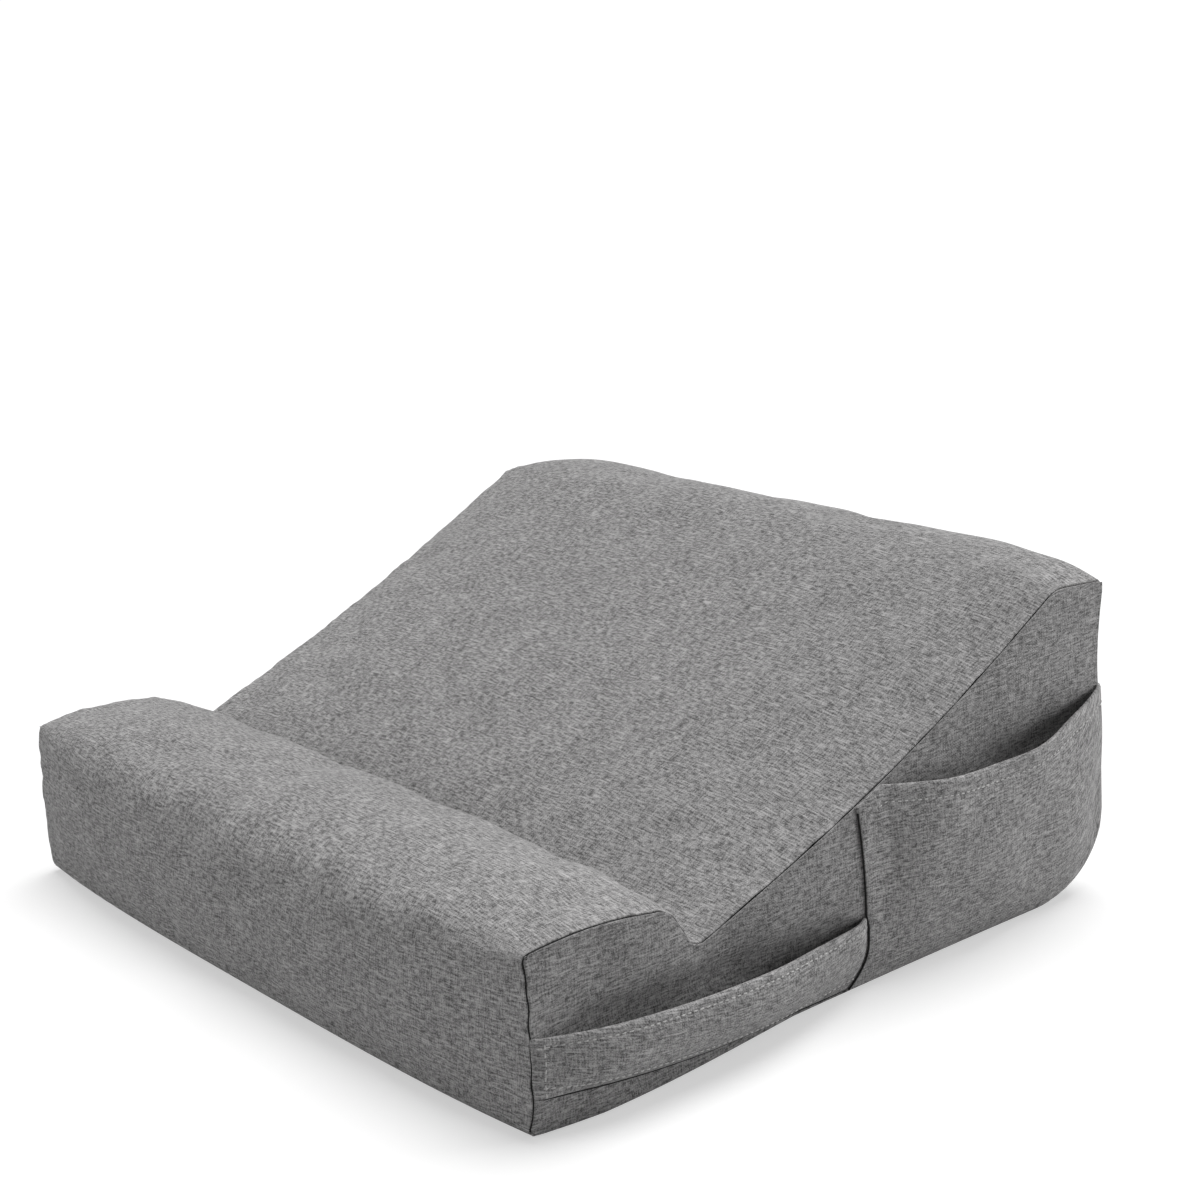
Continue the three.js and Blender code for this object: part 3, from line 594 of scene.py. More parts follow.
hem_corner = (arc(BASE_FRONT, SEAM_RADII[BASE_FRONT], [0.5]), unit(np.array([[-1.0, -1.0]])))
top_seam, base_seam = (seam_top, seam_top_normals), (seam_base, seam_base_normals)
front_edge = joined(hem_corner, part_of(*top_seam, slice(LIP_TURN + 1)))
rim_edge = part_of(*top_seam, slice(LIP_TURN, TOP_TURN + 1))
back_edge = joined(part_of(*top_seam, slice(TOP_TURN, None)), part_of(*base_seam, slice(BASE_TURN + 1)))
low_edge = joined(part_of(*base_seam, slice(BASE_TURN, None)), hem_corner)
back_edge, low_edge = (part_of(*edge, slice(None, None, -1)) for edge in (back_edge, low_edge))
print("rim of a side panel", round(float(run_length(rim_edge[0])[-1]), 3), "m long")

# %% [markdown]
# The panel between those edges is filled by blending them, and the same grid serves the right and the left
# side. On the right side the foam gives behind the pocket mouths, and the shade in that hollow is what
# makes a mouth look open.

# %% Side panels
SIDE_COLUMNS, SIDE_ROWS = 141, 65
SIDE_WAVE, SIDE_WAVE_LENGTH, SIDE_HELD_SHARE = 0.0005, 0.05, 0.12
Hollow = namedtuple("Hollow", "depth start run power spread")
FRONT_HOLLOW = Hollow(0.0055, -0.164, 0.167, 0.7, 0.009)
REAR_HOLLOW = Hollow(0.0036, 0.030, 0.130, 1.0, 0.012)
FRONT_HOLLOW_DROP, REAR_HOLLOW_HEIGHT = 0.001, 0.085


def blended_side():
    front, front_n = even_samples(*front_edge, SIDE_ROWS)
    back, back_n = even_samples(*back_edge, SIDE_ROWS)
    rim, rim_n = even_samples(*rim_edge, SIDE_COLUMNS)
    share = (rim[:, 0] - rim[0, 0]) / (rim[-1, 0] - rim[0, 0])
    low_points, low_normals = low_edge
    low_run = low_points[:, 0]
    low_y = low_run[0] + (low_run[-1] - low_run[0]) * share
    low = np.stack([low_y, np.interp(low_y, low_run, low_points[:, 1])], axis=-1)
    low_n = unit(np.stack([np.interp(low_y, low_run, values) for values in low_normals.T], axis=-1))
    edges = [(front, front_n), (back, back_n), (low, low_n), (rim, rim_n)]
    front, back, low, rim = (points - normals * SETBACK for points, normals in edges)
    front[0], front[-1], back[0], back[-1] = low[0], rim[0], low[-1], rim[-1]
    u, v = share[:, None, None], np.linspace(0, 1, SIDE_ROWS)[None, :, None]
    across = (1 - u) * front[None] + u * back[None]
    upward = (1 - v) * low[:, None] + v * rim[:, None]
    corners = ((1 - u) * (1 - v) * low[0] + u * (1 - v) * low[-1]
               + (1 - u) * v * rim[0] + u * v * rim[-1])
    return across + upward - corners, (front_n, back_n, low_n, rim_n)


def one_hollow(shape, y, from_deepest):
    along = bell((y - shape.start) / shape.run) ** shape.power
    return shape.depth * (along * hill(from_deepest, shape.spread))


def mouth_hollow(y, z):
    s = ramp((y - POCKET_FRONT) / (SEAM_START - POCKET_FRONT))
    front = one_hollow(FRONT_HOLLOW, y, z - front_pocket_rims(s)[1] + FRONT_HOLLOW_DROP)
    return front + one_hollow(REAR_HOLLOW, y, z - REAR_HOLLOW_HEIGHT)


def side_panel(name, sign, seed):
    flat, edge_normals = blended_side()
    y, z = flat[..., 0], flat[..., 1]
    rows = np.linspace(0, 1, SIDE_ROWS)[None, :]
    columns = np.linspace(0, 1, SIDE_COLUMNS)[:, None]
    from_edge = np.minimum(np.minimum(rows, 1 - rows), np.minimum(columns, 1 - columns))
    inside = ramp(from_edge / SIDE_HELD_SHARE)
    x = side_reach(y, z) + inside * SIDE_WAVE * ripples(y, z, SIDE_WAVE_LENGTH, seed)
    if sign > 0:
        x = x - mouth_hollow(y, z)
    points = np.stack([sign * x, y, z], axis=-1)
    away = np.array([sign, 0.0, 0.0])
    rings = []
    for normals in edge_normals:
        outward = np.concatenate([np.zeros((len(normals), 1)), normals], axis=-1)
        rings.append(turned(outward, -unit(outward + away)))
    grown, uv = bordered(points, flat, *rings, corner=0.5)
    return thicken(cloth_mesh(name, grown, uv[..., ::-1], away), CLOTH)


cover_right = side_panel("cover_right", 1.0, 31)
cover_left = side_panel("cover_left", -1.0, 32)

# %% [markdown]
# Both pockets are sewn flat at their foot and ends and gape at the mouth. The bulge grows from nothing at
# the stitching to a few millimetres at the rim. The mouth is a hem: the cloth goes over the rim and down
# again inside, which gives the thick soft edge that a single sheet would lack.

# %% Shape of a pocket
POCKET_GAP, POCKET_OVERLAP = 0.0013, 0.0012
END_RAMP, END_GAP_SHARE = 0.002, 0.3
GAPE_POWER, BELLY_POWER = 0.7, 0.8
HEM_RADIUS, HEM_DEPTH, HEM_ARC_STEPS, HEM_FLAP_STEPS = 0.001, 0.009, 7, 4
Pocket = namedtuple("Pocket", "rims start stop gape belly hem")
FRONT_POCKET = Pocket(front_pocket_rims, lambda z: POCKET_FRONT + 0 * z,
                      lambda z: pocket_seam(z) - POCKET_OVERLAP, 0.0115, 0.004, 0.0027)
REAR_POCKET = Pocket(rear_pocket_rims, pocket_seam, lambda z: POCKET_REAR + 0 * z, 0.0125, 0.001, 0.0065)


def pocket_points(shape, s, t):
    foot, mouth, opening = shape.rims(s)
    z = foot + (mouth - foot) * t
    first, last = shape.start(z), shape.stop(z)
    y = first + (last - first) * s
    across = bell(s + (opening - s) * t) ** GAPE_POWER
    bulge = shape.gape * across * bell(t / 2) ** GAPE_POWER
    bulge = bulge + shape.belly * bell(s) * bell(t) ** BELLY_POWER
    near_seam = np.clip(np.minimum(y - POCKET_FRONT, POCKET_REAR - y) / END_RAMP, END_GAP_SHARE, 1)
    return np.stack([side_reach(y, z) + POCKET_GAP * near_seam + bulge, y, z], axis=-1), mouth - foot


def hem_rings(points, facing, row_height):
    edge = points[:, -1]
    upward = unit(edge - points[:, -2])
    rings = []
    for angle in np.linspace(0, np.pi, HEM_ARC_STEPS)[1:]:
        rings.append(HEM_RADIUS * (upward * np.sin(angle) - facing[:, -1] * (1 - np.cos(angle))))
    step = max(1, round(HEM_DEPTH / HEM_FLAP_STEPS / row_height))
    for row in range(1, HEM_FLAP_STEPS + 1):
        lower = -1 - row * step
        rings.append(points[:, lower] - edge - 2 * HEM_RADIUS * facing[:, lower])
    return np.array(rings)


front_middle, _ = pocket_points(FRONT_POCKET, np.array([0.5]), np.array([1.0]))
print("front pocket's rim at mid length", [round(float(v), 4) for v in front_middle[0]], "m")

# %% [markdown]
# Each pocket is a grid over that shape. A shallow groove marks where the hem is sewn, a soft roll lies above
# it and short puckers run along it. The other three edges turn in to the wall. The cut of the cloth is as
# long as the sewn edges, with an allowance for seams and hem.

# %% Pockets on the right side
POCKET_COLUMNS, POCKET_ROWS, POCKET_CLOTH = 121, 45, 0.0008
HEM_GROOVE, HEM_GROOVE_WIDTH, HEM_PUFF, HEM_PUFF_WIDTH = 0.0005, 0.001, 0.0003, 0.002
HEM_PUCKER, HEM_PUCKER_LENGTH, HEM_PUCKER_FADE, HEM_PUCKER_SLANT = 0.00008, 0.007, 0.003, 0.3
POCKET_WAVE, POCKET_WAVE_LENGTH, FOOT_HELD_SHARE, END_HELD_SHARE = 0.0008, 0.05, 0.3, 0.04
POCKET_SETBACK, POCKET_ROLL_DEPTH = 0.0008, 0.0014


def pocket(name, shape, seed):
    s = np.linspace(0, 1, POCKET_COLUMNS)[:, None]
    t = np.linspace(0, 1, POCKET_ROWS)[None, :]
    points, height = pocket_points(shape, s, t)
    y, z = points[..., 1], points[..., 2]
    flat = np.stack([y, run_length(points.transpose(1, 0, 2)).T], axis=-1)
    from_rim = (1 - t) * height
    facing = grid_normals(points)
    groove = -HEM_GROOVE * hill(from_rim - shape.hem, HEM_GROOVE_WIDTH)
    puff = HEM_PUFF * hill(from_rim - shape.hem / 2, HEM_PUFF_WIDTH)
    pucker = HEM_PUCKER * ripples(y, z * HEM_PUCKER_SLANT, HEM_PUCKER_LENGTH, seed)
    pucker = pucker * np.exp(-np.abs(from_rim - shape.hem) / HEM_PUCKER_FADE)
    soft = POCKET_WAVE * ripples(y, z, POCKET_WAVE_LENGTH, seed + 1) * ramp(t / FOOT_HELD_SHARE)
    loose = ramp(np.minimum(s, 1 - s) / END_HELD_SHARE)
    points = points + facing * (((groove + puff + pucker) + soft) * loose)[..., None]
    inward = np.array([-1.0, 0.0, 0.0])
    edges = [(points[0], points[1]), (points[-1], points[-2]), (points[:, 0], points[:, 1])]
    sewn_rings = [turned(unit(edge - inner), inward + 0 * edge, POCKET_SETBACK, POCKET_ROLL_DEPTH)
                  for edge, inner in edges]
    hem = hem_rings(points, facing, float(height.mean()) / (POCKET_ROWS - 1))
    extra = len(hem) - len(sewn_rings[0])
    sewn_rings = [np.concatenate([rings, np.repeat(rings[-1:], extra, axis=0)]) for rings in sewn_rings]
    grown, uv = bordered(points, flat, *sewn_rings, hem)
    grown, uv = grown[extra:-extra, extra:], uv[extra:-extra, extra:]
    return thicken(cloth_mesh(name, grown, uv[..., ::-1], (1, 0, 0)), POCKET_CLOTH), points


def pocket_cut(rims, width):
    foot, mouth, _ = rims(np.linspace(0, 1, 60))
    heights = mouth - foot + HEM_DEPTH + SEAM_ALLOWANCE
    size = (width + 2 * SEAM_ALLOWANCE, float(heights.max()))
    area = size[0] * float(heights.mean())
    print("pocket cut", [round(v, 3) for v in size], "m, area", round(area * 1e4), "cm2")
    return size, area


pocket_front, front_pocket_grid = pocket("pocket_front", FRONT_POCKET, 41)
pocket_rear, rear_pocket_grid = pocket("pocket_rear", REAR_POCKET, 51)
FRONT_POCKET_CUT, FRONT_POCKET_AREA = pocket_cut(front_pocket_rims, SEAM_START - POCKET_FRONT)
REAR_POCKET_CUT, REAR_POCKET_AREA = pocket_cut(rear_pocket_rims, POCKET_REAR - SEAM_START)

# %% [markdown]
# Under the cover is one block of foam. Almost nothing of it shows, but the slits of the zip and the pocket
# mouths would look into an empty shell without it. It is the same outline, drawn in by a few millimetres.

# %% Foam wedge
FOAM_INSET, FOAM_SIDE_INSET = 0.0036, 0.0070
ZIP_HOLLOW, ZIP_HOLLOW_SPREAD, BACK_ZONE = 0.006, 0.014, 0.1
FOAM_COLUMNS, FOAM_SKIP = 41, 3


def foam_wedge_mesh(name):
    loops = []
    for share in np.linspace(-1, 1, FOAM_COLUMNS):
        line, normals = (rows[::FOAM_SKIP] for rows in top_line(share))
        base, base_normals = (rows[::FOAM_SKIP] for rows in base_line(share))
        line, normals = np.concatenate([line, base]), np.concatenate([normals, base_normals])
        near_zip = hill(line[:, 1] - ZIP_MIDDLE, ZIP_HOLLOW_SPREAD) * (line[:, 0] > BACK_ZONE)
        line = line - normals * (FOAM_INSET + ZIP_HOLLOW * near_zip)[:, None]
        x = share * (side_reach(line[:, 0], np.maximum(line[:, 1], 0)) - FOAM_SIDE_INSET)
        loops.append(np.concatenate([x[:, None], line], axis=-1))
    points = np.array(loops)
    count = points.shape[1]
    index = np.arange(FOAM_COLUMNS * count).reshape(FOAM_COLUMNS, count)
    beside = np.roll(index, -1, axis=1)
    faces = np.stack([index[:-1], beside[:-1], beside[1:], index[1:]], axis=-1).reshape(-1, 4).tolist()
    faces += [index[0].tolist(), index[-1, ::-1].tolist()]
    mesh = bpy.data.meshes.new(name)
    mesh.from_pydata(points.reshape(-1, 3).tolist(), [], faces)
    return added(name, mesh)


def face_outward(piece):
    work = bmesh.new()
    work.from_mesh(piece.data)
    bmesh.ops.remove_doubles(work, verts=work.verts, dist=1e-6)
    bmesh.ops.recalc_face_normals(work, faces=work.faces)
    volume = work.calc_volume(signed=True)
    if volume < 0:
        bmesh.ops.reverse_faces(work, faces=work.faces)
    work.to_mesh(piece.data)
    work.free()
    return abs(volume)


foam_wedge = foam_wedge_mesh("foam_wedge")
print("foam volume", round(face_outward(foam_wedge) * 1000, 2), "litres")

# %% [markdown]
# The zip lies in the lower back. Its tapes are narrow woven bands whose inner edge thickens to a cord that
# carries the teeth, so each is a ribbon with a bead along one side. Past the stops the two tapes close up.

# %% Zip tapes
TAPE_STEPS, TAPE_ROWS = 320, 9
TAPE_BEAD, TAPE_BEAD_SHARE, TAPE_BEAD_END = 0.0004, 0.08, 0.2
TAPE_RIPPLE, TAPE_RIPPLE_RATE = 0.00008, 900
TOP_STOP_END, BOTTOM_STOP_END, CLOSING_RUN, TAPE_SLIT = 0.1718, -0.1695, 0.005, 0.0001


def tape(name, node, toward_teeth):
    low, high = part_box(node)
    inner, outer = (low[2], high[2]) if toward_teeth < 0 else (high[2], low[2])
    across = np.linspace(0, 1, TAPE_ROWS)[None, :]
    x = np.linspace(low[0], high[0], TAPE_STEPS)[:, None]
    past_stop = np.where(x > 0, x - TOP_STOP_END, BOTTOM_STOP_END - x)
    meet = smooth_ramp(past_stop / CLOSING_RUN)
    edge = inner + (ZIP_MIDDLE - toward_teeth * TAPE_SLIT - inner) * meet
    z = edge + (outer - edge) * across
    wave = TAPE_RIPPLE * np.sin(x * TAPE_RIPPLE_RATE) * (across > TAPE_BEAD_END)
    y = high[1] + TAPE_BEAD * hill(across, TAPE_BEAD_SHARE) + wave
    points = np.stack([x + 0 * y, y, z], axis=-1)
    piece = cloth_mesh(name, points, points[..., [0, 2]], (0, 1, 0))
    return thicken(piece, float(high[1] - low[1]))


tape_upper = tape("tape_upper", "zip_tape_upper", -1)
tape_lower = tape("tape_lower", "zip_tape_lower", 1)

# %% [markdown]
# Teeth, stops, slider and pull are hard parts whose shapes the frame already has. A copy of each is merged
# and its edges are rounded a little, because moulded and cast parts have no knife edges and a rounded edge
# is what catches the light.

# %% Hard parts of the zip
SHARP_ANGLE = math.radians(35)
# Of each piece: the node that it copies, its edge radius, its slot, its body
HARD_PARTS = {
    "teeth_upper": ("zip_teeth_upper", 0.00015, "teeth", "cushion"),
    "teeth_lower": ("zip_teeth_lower", 0.00015, "teeth", "cushion"),
    "top_stop_upper": ("zip_top_stop_upper", 0.0002, "metal", "cushion"),
    "top_stop_lower": ("zip_top_stop_lower", 0.0002, "metal", "cushion"),
    "bottom_stop": ("zip_bottom_stop", 0.0002, "metal", "cushion"),
    "slider": ("zip_slider", 0.0003, "metal", "slider"),
    "pull": ("zip_pull", 0.00025, "metal", "pull"),
}


def rounded_copy(name, node, radius):
    piece = added(name, frame["nodes"][node].data.copy())
    piece.data.name = name
    piece.data.materials.clear()
    face_outward(piece)
    edge = piece.modifiers.new("rounded edges", "BEVEL")
    edge.width = radius
    edge.segments = 2
    edge.limit_method = "ANGLE"
    edge.angle_limit = SHARP_ANGLE
    print(name, "from", node, len(piece.data.polygons), "faces")
    return piece


hard_parts = {name: rounded_copy(name, node, radius) for name, (node, radius, _, _) in HARD_PARTS.items()}

# %% [markdown]
# Shader trees soon turn into a thicket of node calls. One small class holds a socket and lets Python's own
# operators add the Math nodes, so a finish below reads like a formula. Any other node comes from its
# node method: type, output, settings, sockets.

# %% A socket that does arithmetic


class Shade:
    """One output of a shader node, which Python's operators can work on."""

    def __init__(self, tree, socket=None):
        self.tree = tree
        self.socket = socket

    def node(self, kind, output, settings=None, sockets=None):
        made = self.tree.nodes.new(kind)
        for key, value in (settings or {}).items():
            setattr(made, key, value)
        for key, value in (sockets or {}).items():
            if isinstance(value, Shade):
                self.tree.links.new(value.socket, made.inputs[key])
            else:
                made.inputs[key].default_value = value
        return Shade(self.tree, made.outputs[output])

    def maths(self, operation, *values):
        return self.node("ShaderNodeMath", 0, {"operation": operation}, dict(enumerate(values)))

    def __add__(self, other):
        return self.maths("ADD", self, other)

    def __sub__(self, other):
        return self.maths("SUBTRACT", self, other)

    def __rsub__(self, other):
        return self.maths("SUBTRACT", other, self)

    def __mul__(self, other):
        return self.maths("MULTIPLY", self, other)

    __radd__ = __add__
    __rmul__ = __mul__

    def sine(self):
        return self.maths("SINE", self)

    def at_least(self, other):
        return self.maths("MAXIMUM", self, other)

    def clamped(self, low, high):
        return self.maths("MINIMUM", self.at_least(low), high)

    def blend(self, first, second):
        return self.node("ShaderNodeMix", 2, {"data_type": "RGBA"}, {0: self, 6: first, 7: second})

    def scaled(self, scale, offset=(0.0, 0.0, 0.0)):
        settings = {"operation": "MULTIPLY_ADD"}
        return self.node("ShaderNodeVectorMath", 0, settings, {0: self, 1: scale, 2: offset})

    def noise(self, scale, detail=2.0, offset=(0.0, 0.0, 0.0)):
        sockets = {"Vector": self.scaled(scale, offset), "Scale": 1.0, "Detail": detail}
        return self.node("ShaderNodeTexNoise", 0, {"noise_dimensions": "3D"}, sockets)

    def relief(self, strength, distance):
        sockets = {"Strength": strength, "Distance": distance, "Height": self}
        return self.node("ShaderNodeBump", 0, None, sockets)

    def feed(self, shader, socket):
        self.tree.links.new(self.socket, shader.inputs[socket])


def new_finish(name, roughness, specular, metallic=0.0):
    finish = bpy.data.materials.new(name)
    finish.use_nodes = True
    shader = finish.node_tree.nodes["Principled BSDF"]
    shader.inputs["Roughness"].default_value = roughness
    shader.inputs["Specular IOR Level"].default_value = specular
    shader.inputs["Metallic"].default_value = metallic
    return finish, Shade(finish.node_tree), shader


print("a Shade has", [key for key in vars(Shade) if not key.startswith("_")])

# %% [markdown]
# The cover is a heather grey plain weave with a linen look. Light and dark fibres were mixed before the
# yarn was spun, so every thread changes tone along its length and the cloth shows short crossing streaks.
# Two stretched noises stand for warp and weft, and a weave mask says which of the two is on top. Flecks,
# thick places in the yarn and faint clouds break up what would otherwise be too even.

# %% Heather cloth
THREADS = 0.0007
DARKEST, LIGHTEST, WARMTH = 0.34, 1.66, 0.985
CLOTH_ROUGHNESS, CLOTH_SPECULAR, SHEEN, SHEEN_ROUGHNESS = 0.95, 0.12, 0.12, 0.5
CROSSING_CONTRAST, WEAVE_HEIGHT = 2.2, 0.0004
THREAD_HEIGHT, TONE_HEIGHT, FLECK_HEIGHT = 0.35, 0.8, 0.3
# Of each noise: its scale in threads across the two directions, its detail, its offset
YARN_NOISES = {
    "weft": (0.85, 0.17, 2.0, (7.3, 5.9, 0.0)),
    "warp": (0.2, 0.85, 2.0, (3.1, 1.7, 0.0)),
    "slub": (0.7, 0.05, 1.0, (2.9, 8.3, 0.0)),
    "fleck": (1.6, 1.1, 1.0, (1.3, 9.1, 0.0)),
}
# The same in waves per metre, which don't follow the yarn
CLOTH_NOISES = {
    "cloud": (60.0, 60.0, 3.0, (4.7, 2.2, 0.0)),
    "mottle": (330.0, 210.0, 2.0, (8.7, 6.2, 0.0)),
}
TONE_WEIGHTS = {"weft": 0.8, "warp": 0.45, "fleck": 0.7, "mottle": 0.06, "cloud": 0.22}
WEAVE_WEIGHT, SLUB_WEIGHT, SLUB_MEAN = 0.6, 1.6, 0.025
SLUB_START, SLUB_LARGEST = 0.58, 0.2


def grey(value):
    return (value, value * WARMTH, value * WARMTH, 1.0)


def heather_cloth(name, tone, contrast=1.75, threads=THREADS, bump=0.3):
    finish, start, shader = new_finish(name, CLOTH_ROUGHNESS, CLOTH_SPECULAR)
    shader.inputs["Sheen Weight"].default_value = SHEEN
    shader.inputs["Sheen Roughness"].default_value = SHEEN_ROUGHNESS
    at = start.node("ShaderNodeUVMap", 0, {"uv_map": "weave"})
    u, v = (at.node("ShaderNodeSeparateXYZ", output, None, {0: at}) for output in (0, 1))
    turn = math.pi / threads
    over = (u * turn).sine() * (v * turn).sine()
    on_top = (over * CROSSING_CONTRAST + 0.5).clamped(0.0, 1.0)
    noises = {key: at.noise((across / threads, along / threads, 1.0), detail, offset)
              for key, (across, along, detail, offset) in YARN_NOISES.items()}
    for key, (across, along, detail, offset) in CLOTH_NOISES.items():
        noises[key] = at.noise((across, along, 1.0), detail, offset)
    slub = (noises["slub"] - SLUB_START).clamped(0.0, SLUB_LARGEST)
    shown = on_top * noises["warp"] + (1 - on_top) * noises["weft"]
    lightness = (shown - 0.5) * WEAVE_WEIGHT
    for key, weight in TONE_WEIGHTS.items():
        lightness = lightness + (noises[key] - 0.5) * weight
    lightness = (lightness + slub * SLUB_WEIGHT - SLUB_MEAN) * contrast + 0.5
    colour = lightness.clamped(0.0, 1.0).blend(grey(tone * DARKEST), grey(tone * LIGHTEST))
    colour.feed(shader, "Base Color")
    height = over * THREAD_HEIGHT + shown * TONE_HEIGHT + noises["fleck"] * FLECK_HEIGHT
    height.relief(bump, WEAVE_HEIGHT).feed(shader, "Normal")
    return finish


# The side copy is darker and the pocket copy lighter than the cover's, though all are one weave: painted
# shade on the sides and painted light on the pockets, set to how bright those panels look
cover_cloth = heather_cloth("heather cover cloth", 0.322)
base_cloth = heather_cloth("heather base cloth", 0.285)
side_cloth = heather_cloth("heather side cloth", 0.29)
pocket_cloth = heather_cloth("heather pocket cloth", 0.335)
tape_cloth = heather_cloth("zip tape weave", 0.16, 0.55, 0.0004, 0.2)
print("threads", round(THREADS * 1000, 2), "mm apart")

# %% [markdown]
# The other finishes are quieter: cellular foam, sewing thread, moulded teeth and plated metal. Each gets a
# little uneven tone and gloss, because a perfectly even surface is what gives a model away. The near-black
# thread is painted shade, laid where seams and gaps should look dark.

# %% Foam, thread, teeth and metal
GRAIN_HEIGHT, GLOSS_SPREAD = 0.0003, 0.3


def speckled(name, tone, roughness, specular, scale, spread, metallic=0.0, bump=0.0):
    finish, start, shader = new_finish(name, roughness, specular, metallic)
    at = start.node("ShaderNodeTexCoord", 3)
    grain = at.noise((scale, scale, scale), 3.0)
    low = tuple(c * (1 - spread) for c in tone) + (1.0,)
    high = tuple(min(1.0, c * (1 + spread)) for c in tone) + (1.0,)
    grain.clamped(0.25, 0.75).blend(low, high).feed(shader, "Base Color")
    ((grain - 0.5) * GLOSS_SPREAD + roughness).clamped(0.05, 1.0).feed(shader, "Roughness")
    if bump:
        grain.relief(bump, GRAIN_HEIGHT).feed(shader, "Normal")
    return finish


foam_finish = speckled("cream foam", (0.72, 0.66, 0.50), 0.95, 0.1, 1400.0, 0.25, 0.0, 0.6)
pale_thread = speckled("pale thread", (0.62, 0.615, 0.61), 0.85, 0.2, 2500.0, 0.3, 0.0, 0.3)
# Near black, this thread is painted shade for the seam crevices, the gap between the pockets and the foot
# step
seam_shade_thread = speckled("thread painted as seam shade", (0.03, 0.03, 0.03), 0.9, 0.1, 2500.0, 0.3)
teeth_finish = speckled("moulded teeth", (0.20, 0.198, 0.198), 0.42, 0.4, 900.0, 0.12)
metal_finish = speckled("dark nickel", (0.26, 0.255, 0.25), 0.34, 0.5, 700.0, 0.08, 1.0)
print("foam, two threads, teeth and metal have finishes")

# %% [markdown]
# Sewing repeats one stitch along a path, which is a task for Geometry Nodes: the path becomes a curve, the
# curve becomes evenly spaced points, and each point carries one short rounded stitch. A second tree sweeps
# a round thread along the seams, where its near-black finish paints the dark line of shade between two
# panels.

# %% Node trees for stitches and seam threads
LARGEST_LEAN = 0.12


def open_tree(name, numbers):
    tree = bpy.data.node_groups.new(name, "GeometryNodeTree")
    tree.interface.new_socket("Path", in_out="INPUT", socket_type="NodeSocketGeometry")
    for label, value in numbers:
        tree.interface.new_socket(label, in_out="INPUT", socket_type="NodeSocketFloat").default_value = value
    tree.interface.new_socket("Finish", in_out="INPUT", socket_type="NodeSocketMaterial")
    tree.interface.new_socket("Result", in_out="OUTPUT", socket_type="NodeSocketGeometry")

    def add(kind, settings=None, **sockets):
        made = tree.nodes.new(kind)
        for key, value in (settings or {}).items():
            setattr(made, key, value)
        for key, value in sockets.items():
            target = made.inputs[key.replace("_", " ")]
            if isinstance(value, bpy.types.NodeSocket):
                tree.links.new(value, target)
            else:
                target.default_value = value
        return made

    return tree, add, add("NodeGroupInput")


def close_tree(add, geometry, given):
    smooth = add("GeometryNodeSetShadeSmooth", Geometry=geometry)
    real = add("GeometryNodeRealizeInstances", Geometry=smooth.outputs[0])
    painted = add("GeometryNodeSetMaterial", Geometry=real.outputs[0], Material=given.outputs["Finish"])
    add("NodeGroupOutput", Result=painted.outputs[0])


def stitch_tree():
    tree, add, given = open_tree("stitch run", [("Pitch", 0.0034), ("Length", 0.0026), ("Width", 0.0006)])
    path = add("GeometryNodeMeshToCurve", Mesh=given.outputs["Path"])
    places = add("GeometryNodeCurveToPoints", {"mode": "LENGTH"}, Curve=path.outputs[0],
                 Length=given.outputs["Pitch"])
    bead = add("GeometryNodeMeshUVSphere", Segments=8, Rings=6, Radius=0.5)
    size = add("ShaderNodeCombineXYZ", X=given.outputs["Width"], Y=given.outputs["Width"],
               Z=given.outputs["Length"])
    run = add("GeometryNodeInstanceOnPoints", Points=places.outputs["Points"],
              Instance=bead.outputs["Mesh"], Rotation=places.outputs["Rotation"], Scale=size.outputs[0])
    lean = add("FunctionNodeRandomValue", {"data_type": "FLOAT_VECTOR"}, Seed=7)
    lean.inputs[0].default_value = (-LARGEST_LEAN, -LARGEST_LEAN, 0.0)
    lean.inputs[1].default_value = (LARGEST_LEAN, LARGEST_LEAN, 0.0)
    uneven = add("GeometryNodeRotateInstances", Instances=run.outputs[0], Rotation=lean.outputs[0])
    close_tree(add, uneven.outputs[0], given)
    return tree


def thread_tree():
    tree, add, given = open_tree("seam thread", [("Radius", 0.0004)])
    path = add("GeometryNodeMeshToCurve", Mesh=given.outputs["Path"])
    ring = add("GeometryNodeCurvePrimitiveCircle", {"mode": "RADIUS"}, Resolution=6,
               Radius=given.outputs["Radius"])
    sweep = add("GeometryNodeCurveToMesh", Curve=path.outputs[0], Profile_Curve=ring.outputs[0])
    sweep.inputs["Fill Caps"].default_value = True
    close_tree(add, sweep.outputs[0], given)
    return tree


STITCH_RUN, SEAM_THREAD = stitch_tree(), thread_tree()
print("stitch run", len(STITCH_RUN.nodes), "nodes, seam thread", len(SEAM_THREAD.nodes), "nodes")

# %% [markdown]
# Each path of sewing is read off the surface that it is sewn to, so no stitch floats. Stitches on a pocket
# lie on its grid, a given distance below the rim or above the foot. A seam thread lies in the groove
# between two panels, deepest along the slope; its near-black finish paints the shade of that groove. The
# lines between the pockets and under the front pocket's foot are painted shade of a gap and a step.

# %% Paths of the sewing
STITCH_LIFT, ZIP_STITCH_LIFT, FOOT_MARGIN, ZIP_MARGIN, SIDE_MARGIN = 0.0001, 0.00015, 0.004, 0.004, 0.004
HEM_SEAM_DEPTH, HEM_SEAM_SHARE = 0.0017, 0.995
EDGE_LOW, EDGE_HIGH, EDGE_RIM_MARGIN = 0.003, 0.097, 0.003
# Painted gap shade between the pockets: it stands out beside the front pocket, and lies low above its mouth
EDGE_HEIGHTS, EDGE_LIFTS = (0.030, 0.035), (0.0020, 0.0006)
# The near-black line under the front pocket's foot is painted shadow under that step
FOOT_SHADE_LINE_DROP = np.array([0.0011, 0.0, 0.0007])
END_ROW_LOW, END_ROW_HIGH = 0.04, 0.9
# Of each place along the side seam: the step that it is at, the depth of the thread
SEAM_DEPTHS = [(0, 0.0013), (BEND_ENDS[1], 0.0013), (BEND_ENDS[2], 0.0019), (BEND_ENDS[4], 0.0021),
               (BEND_ENDS[5], 0.0016)]


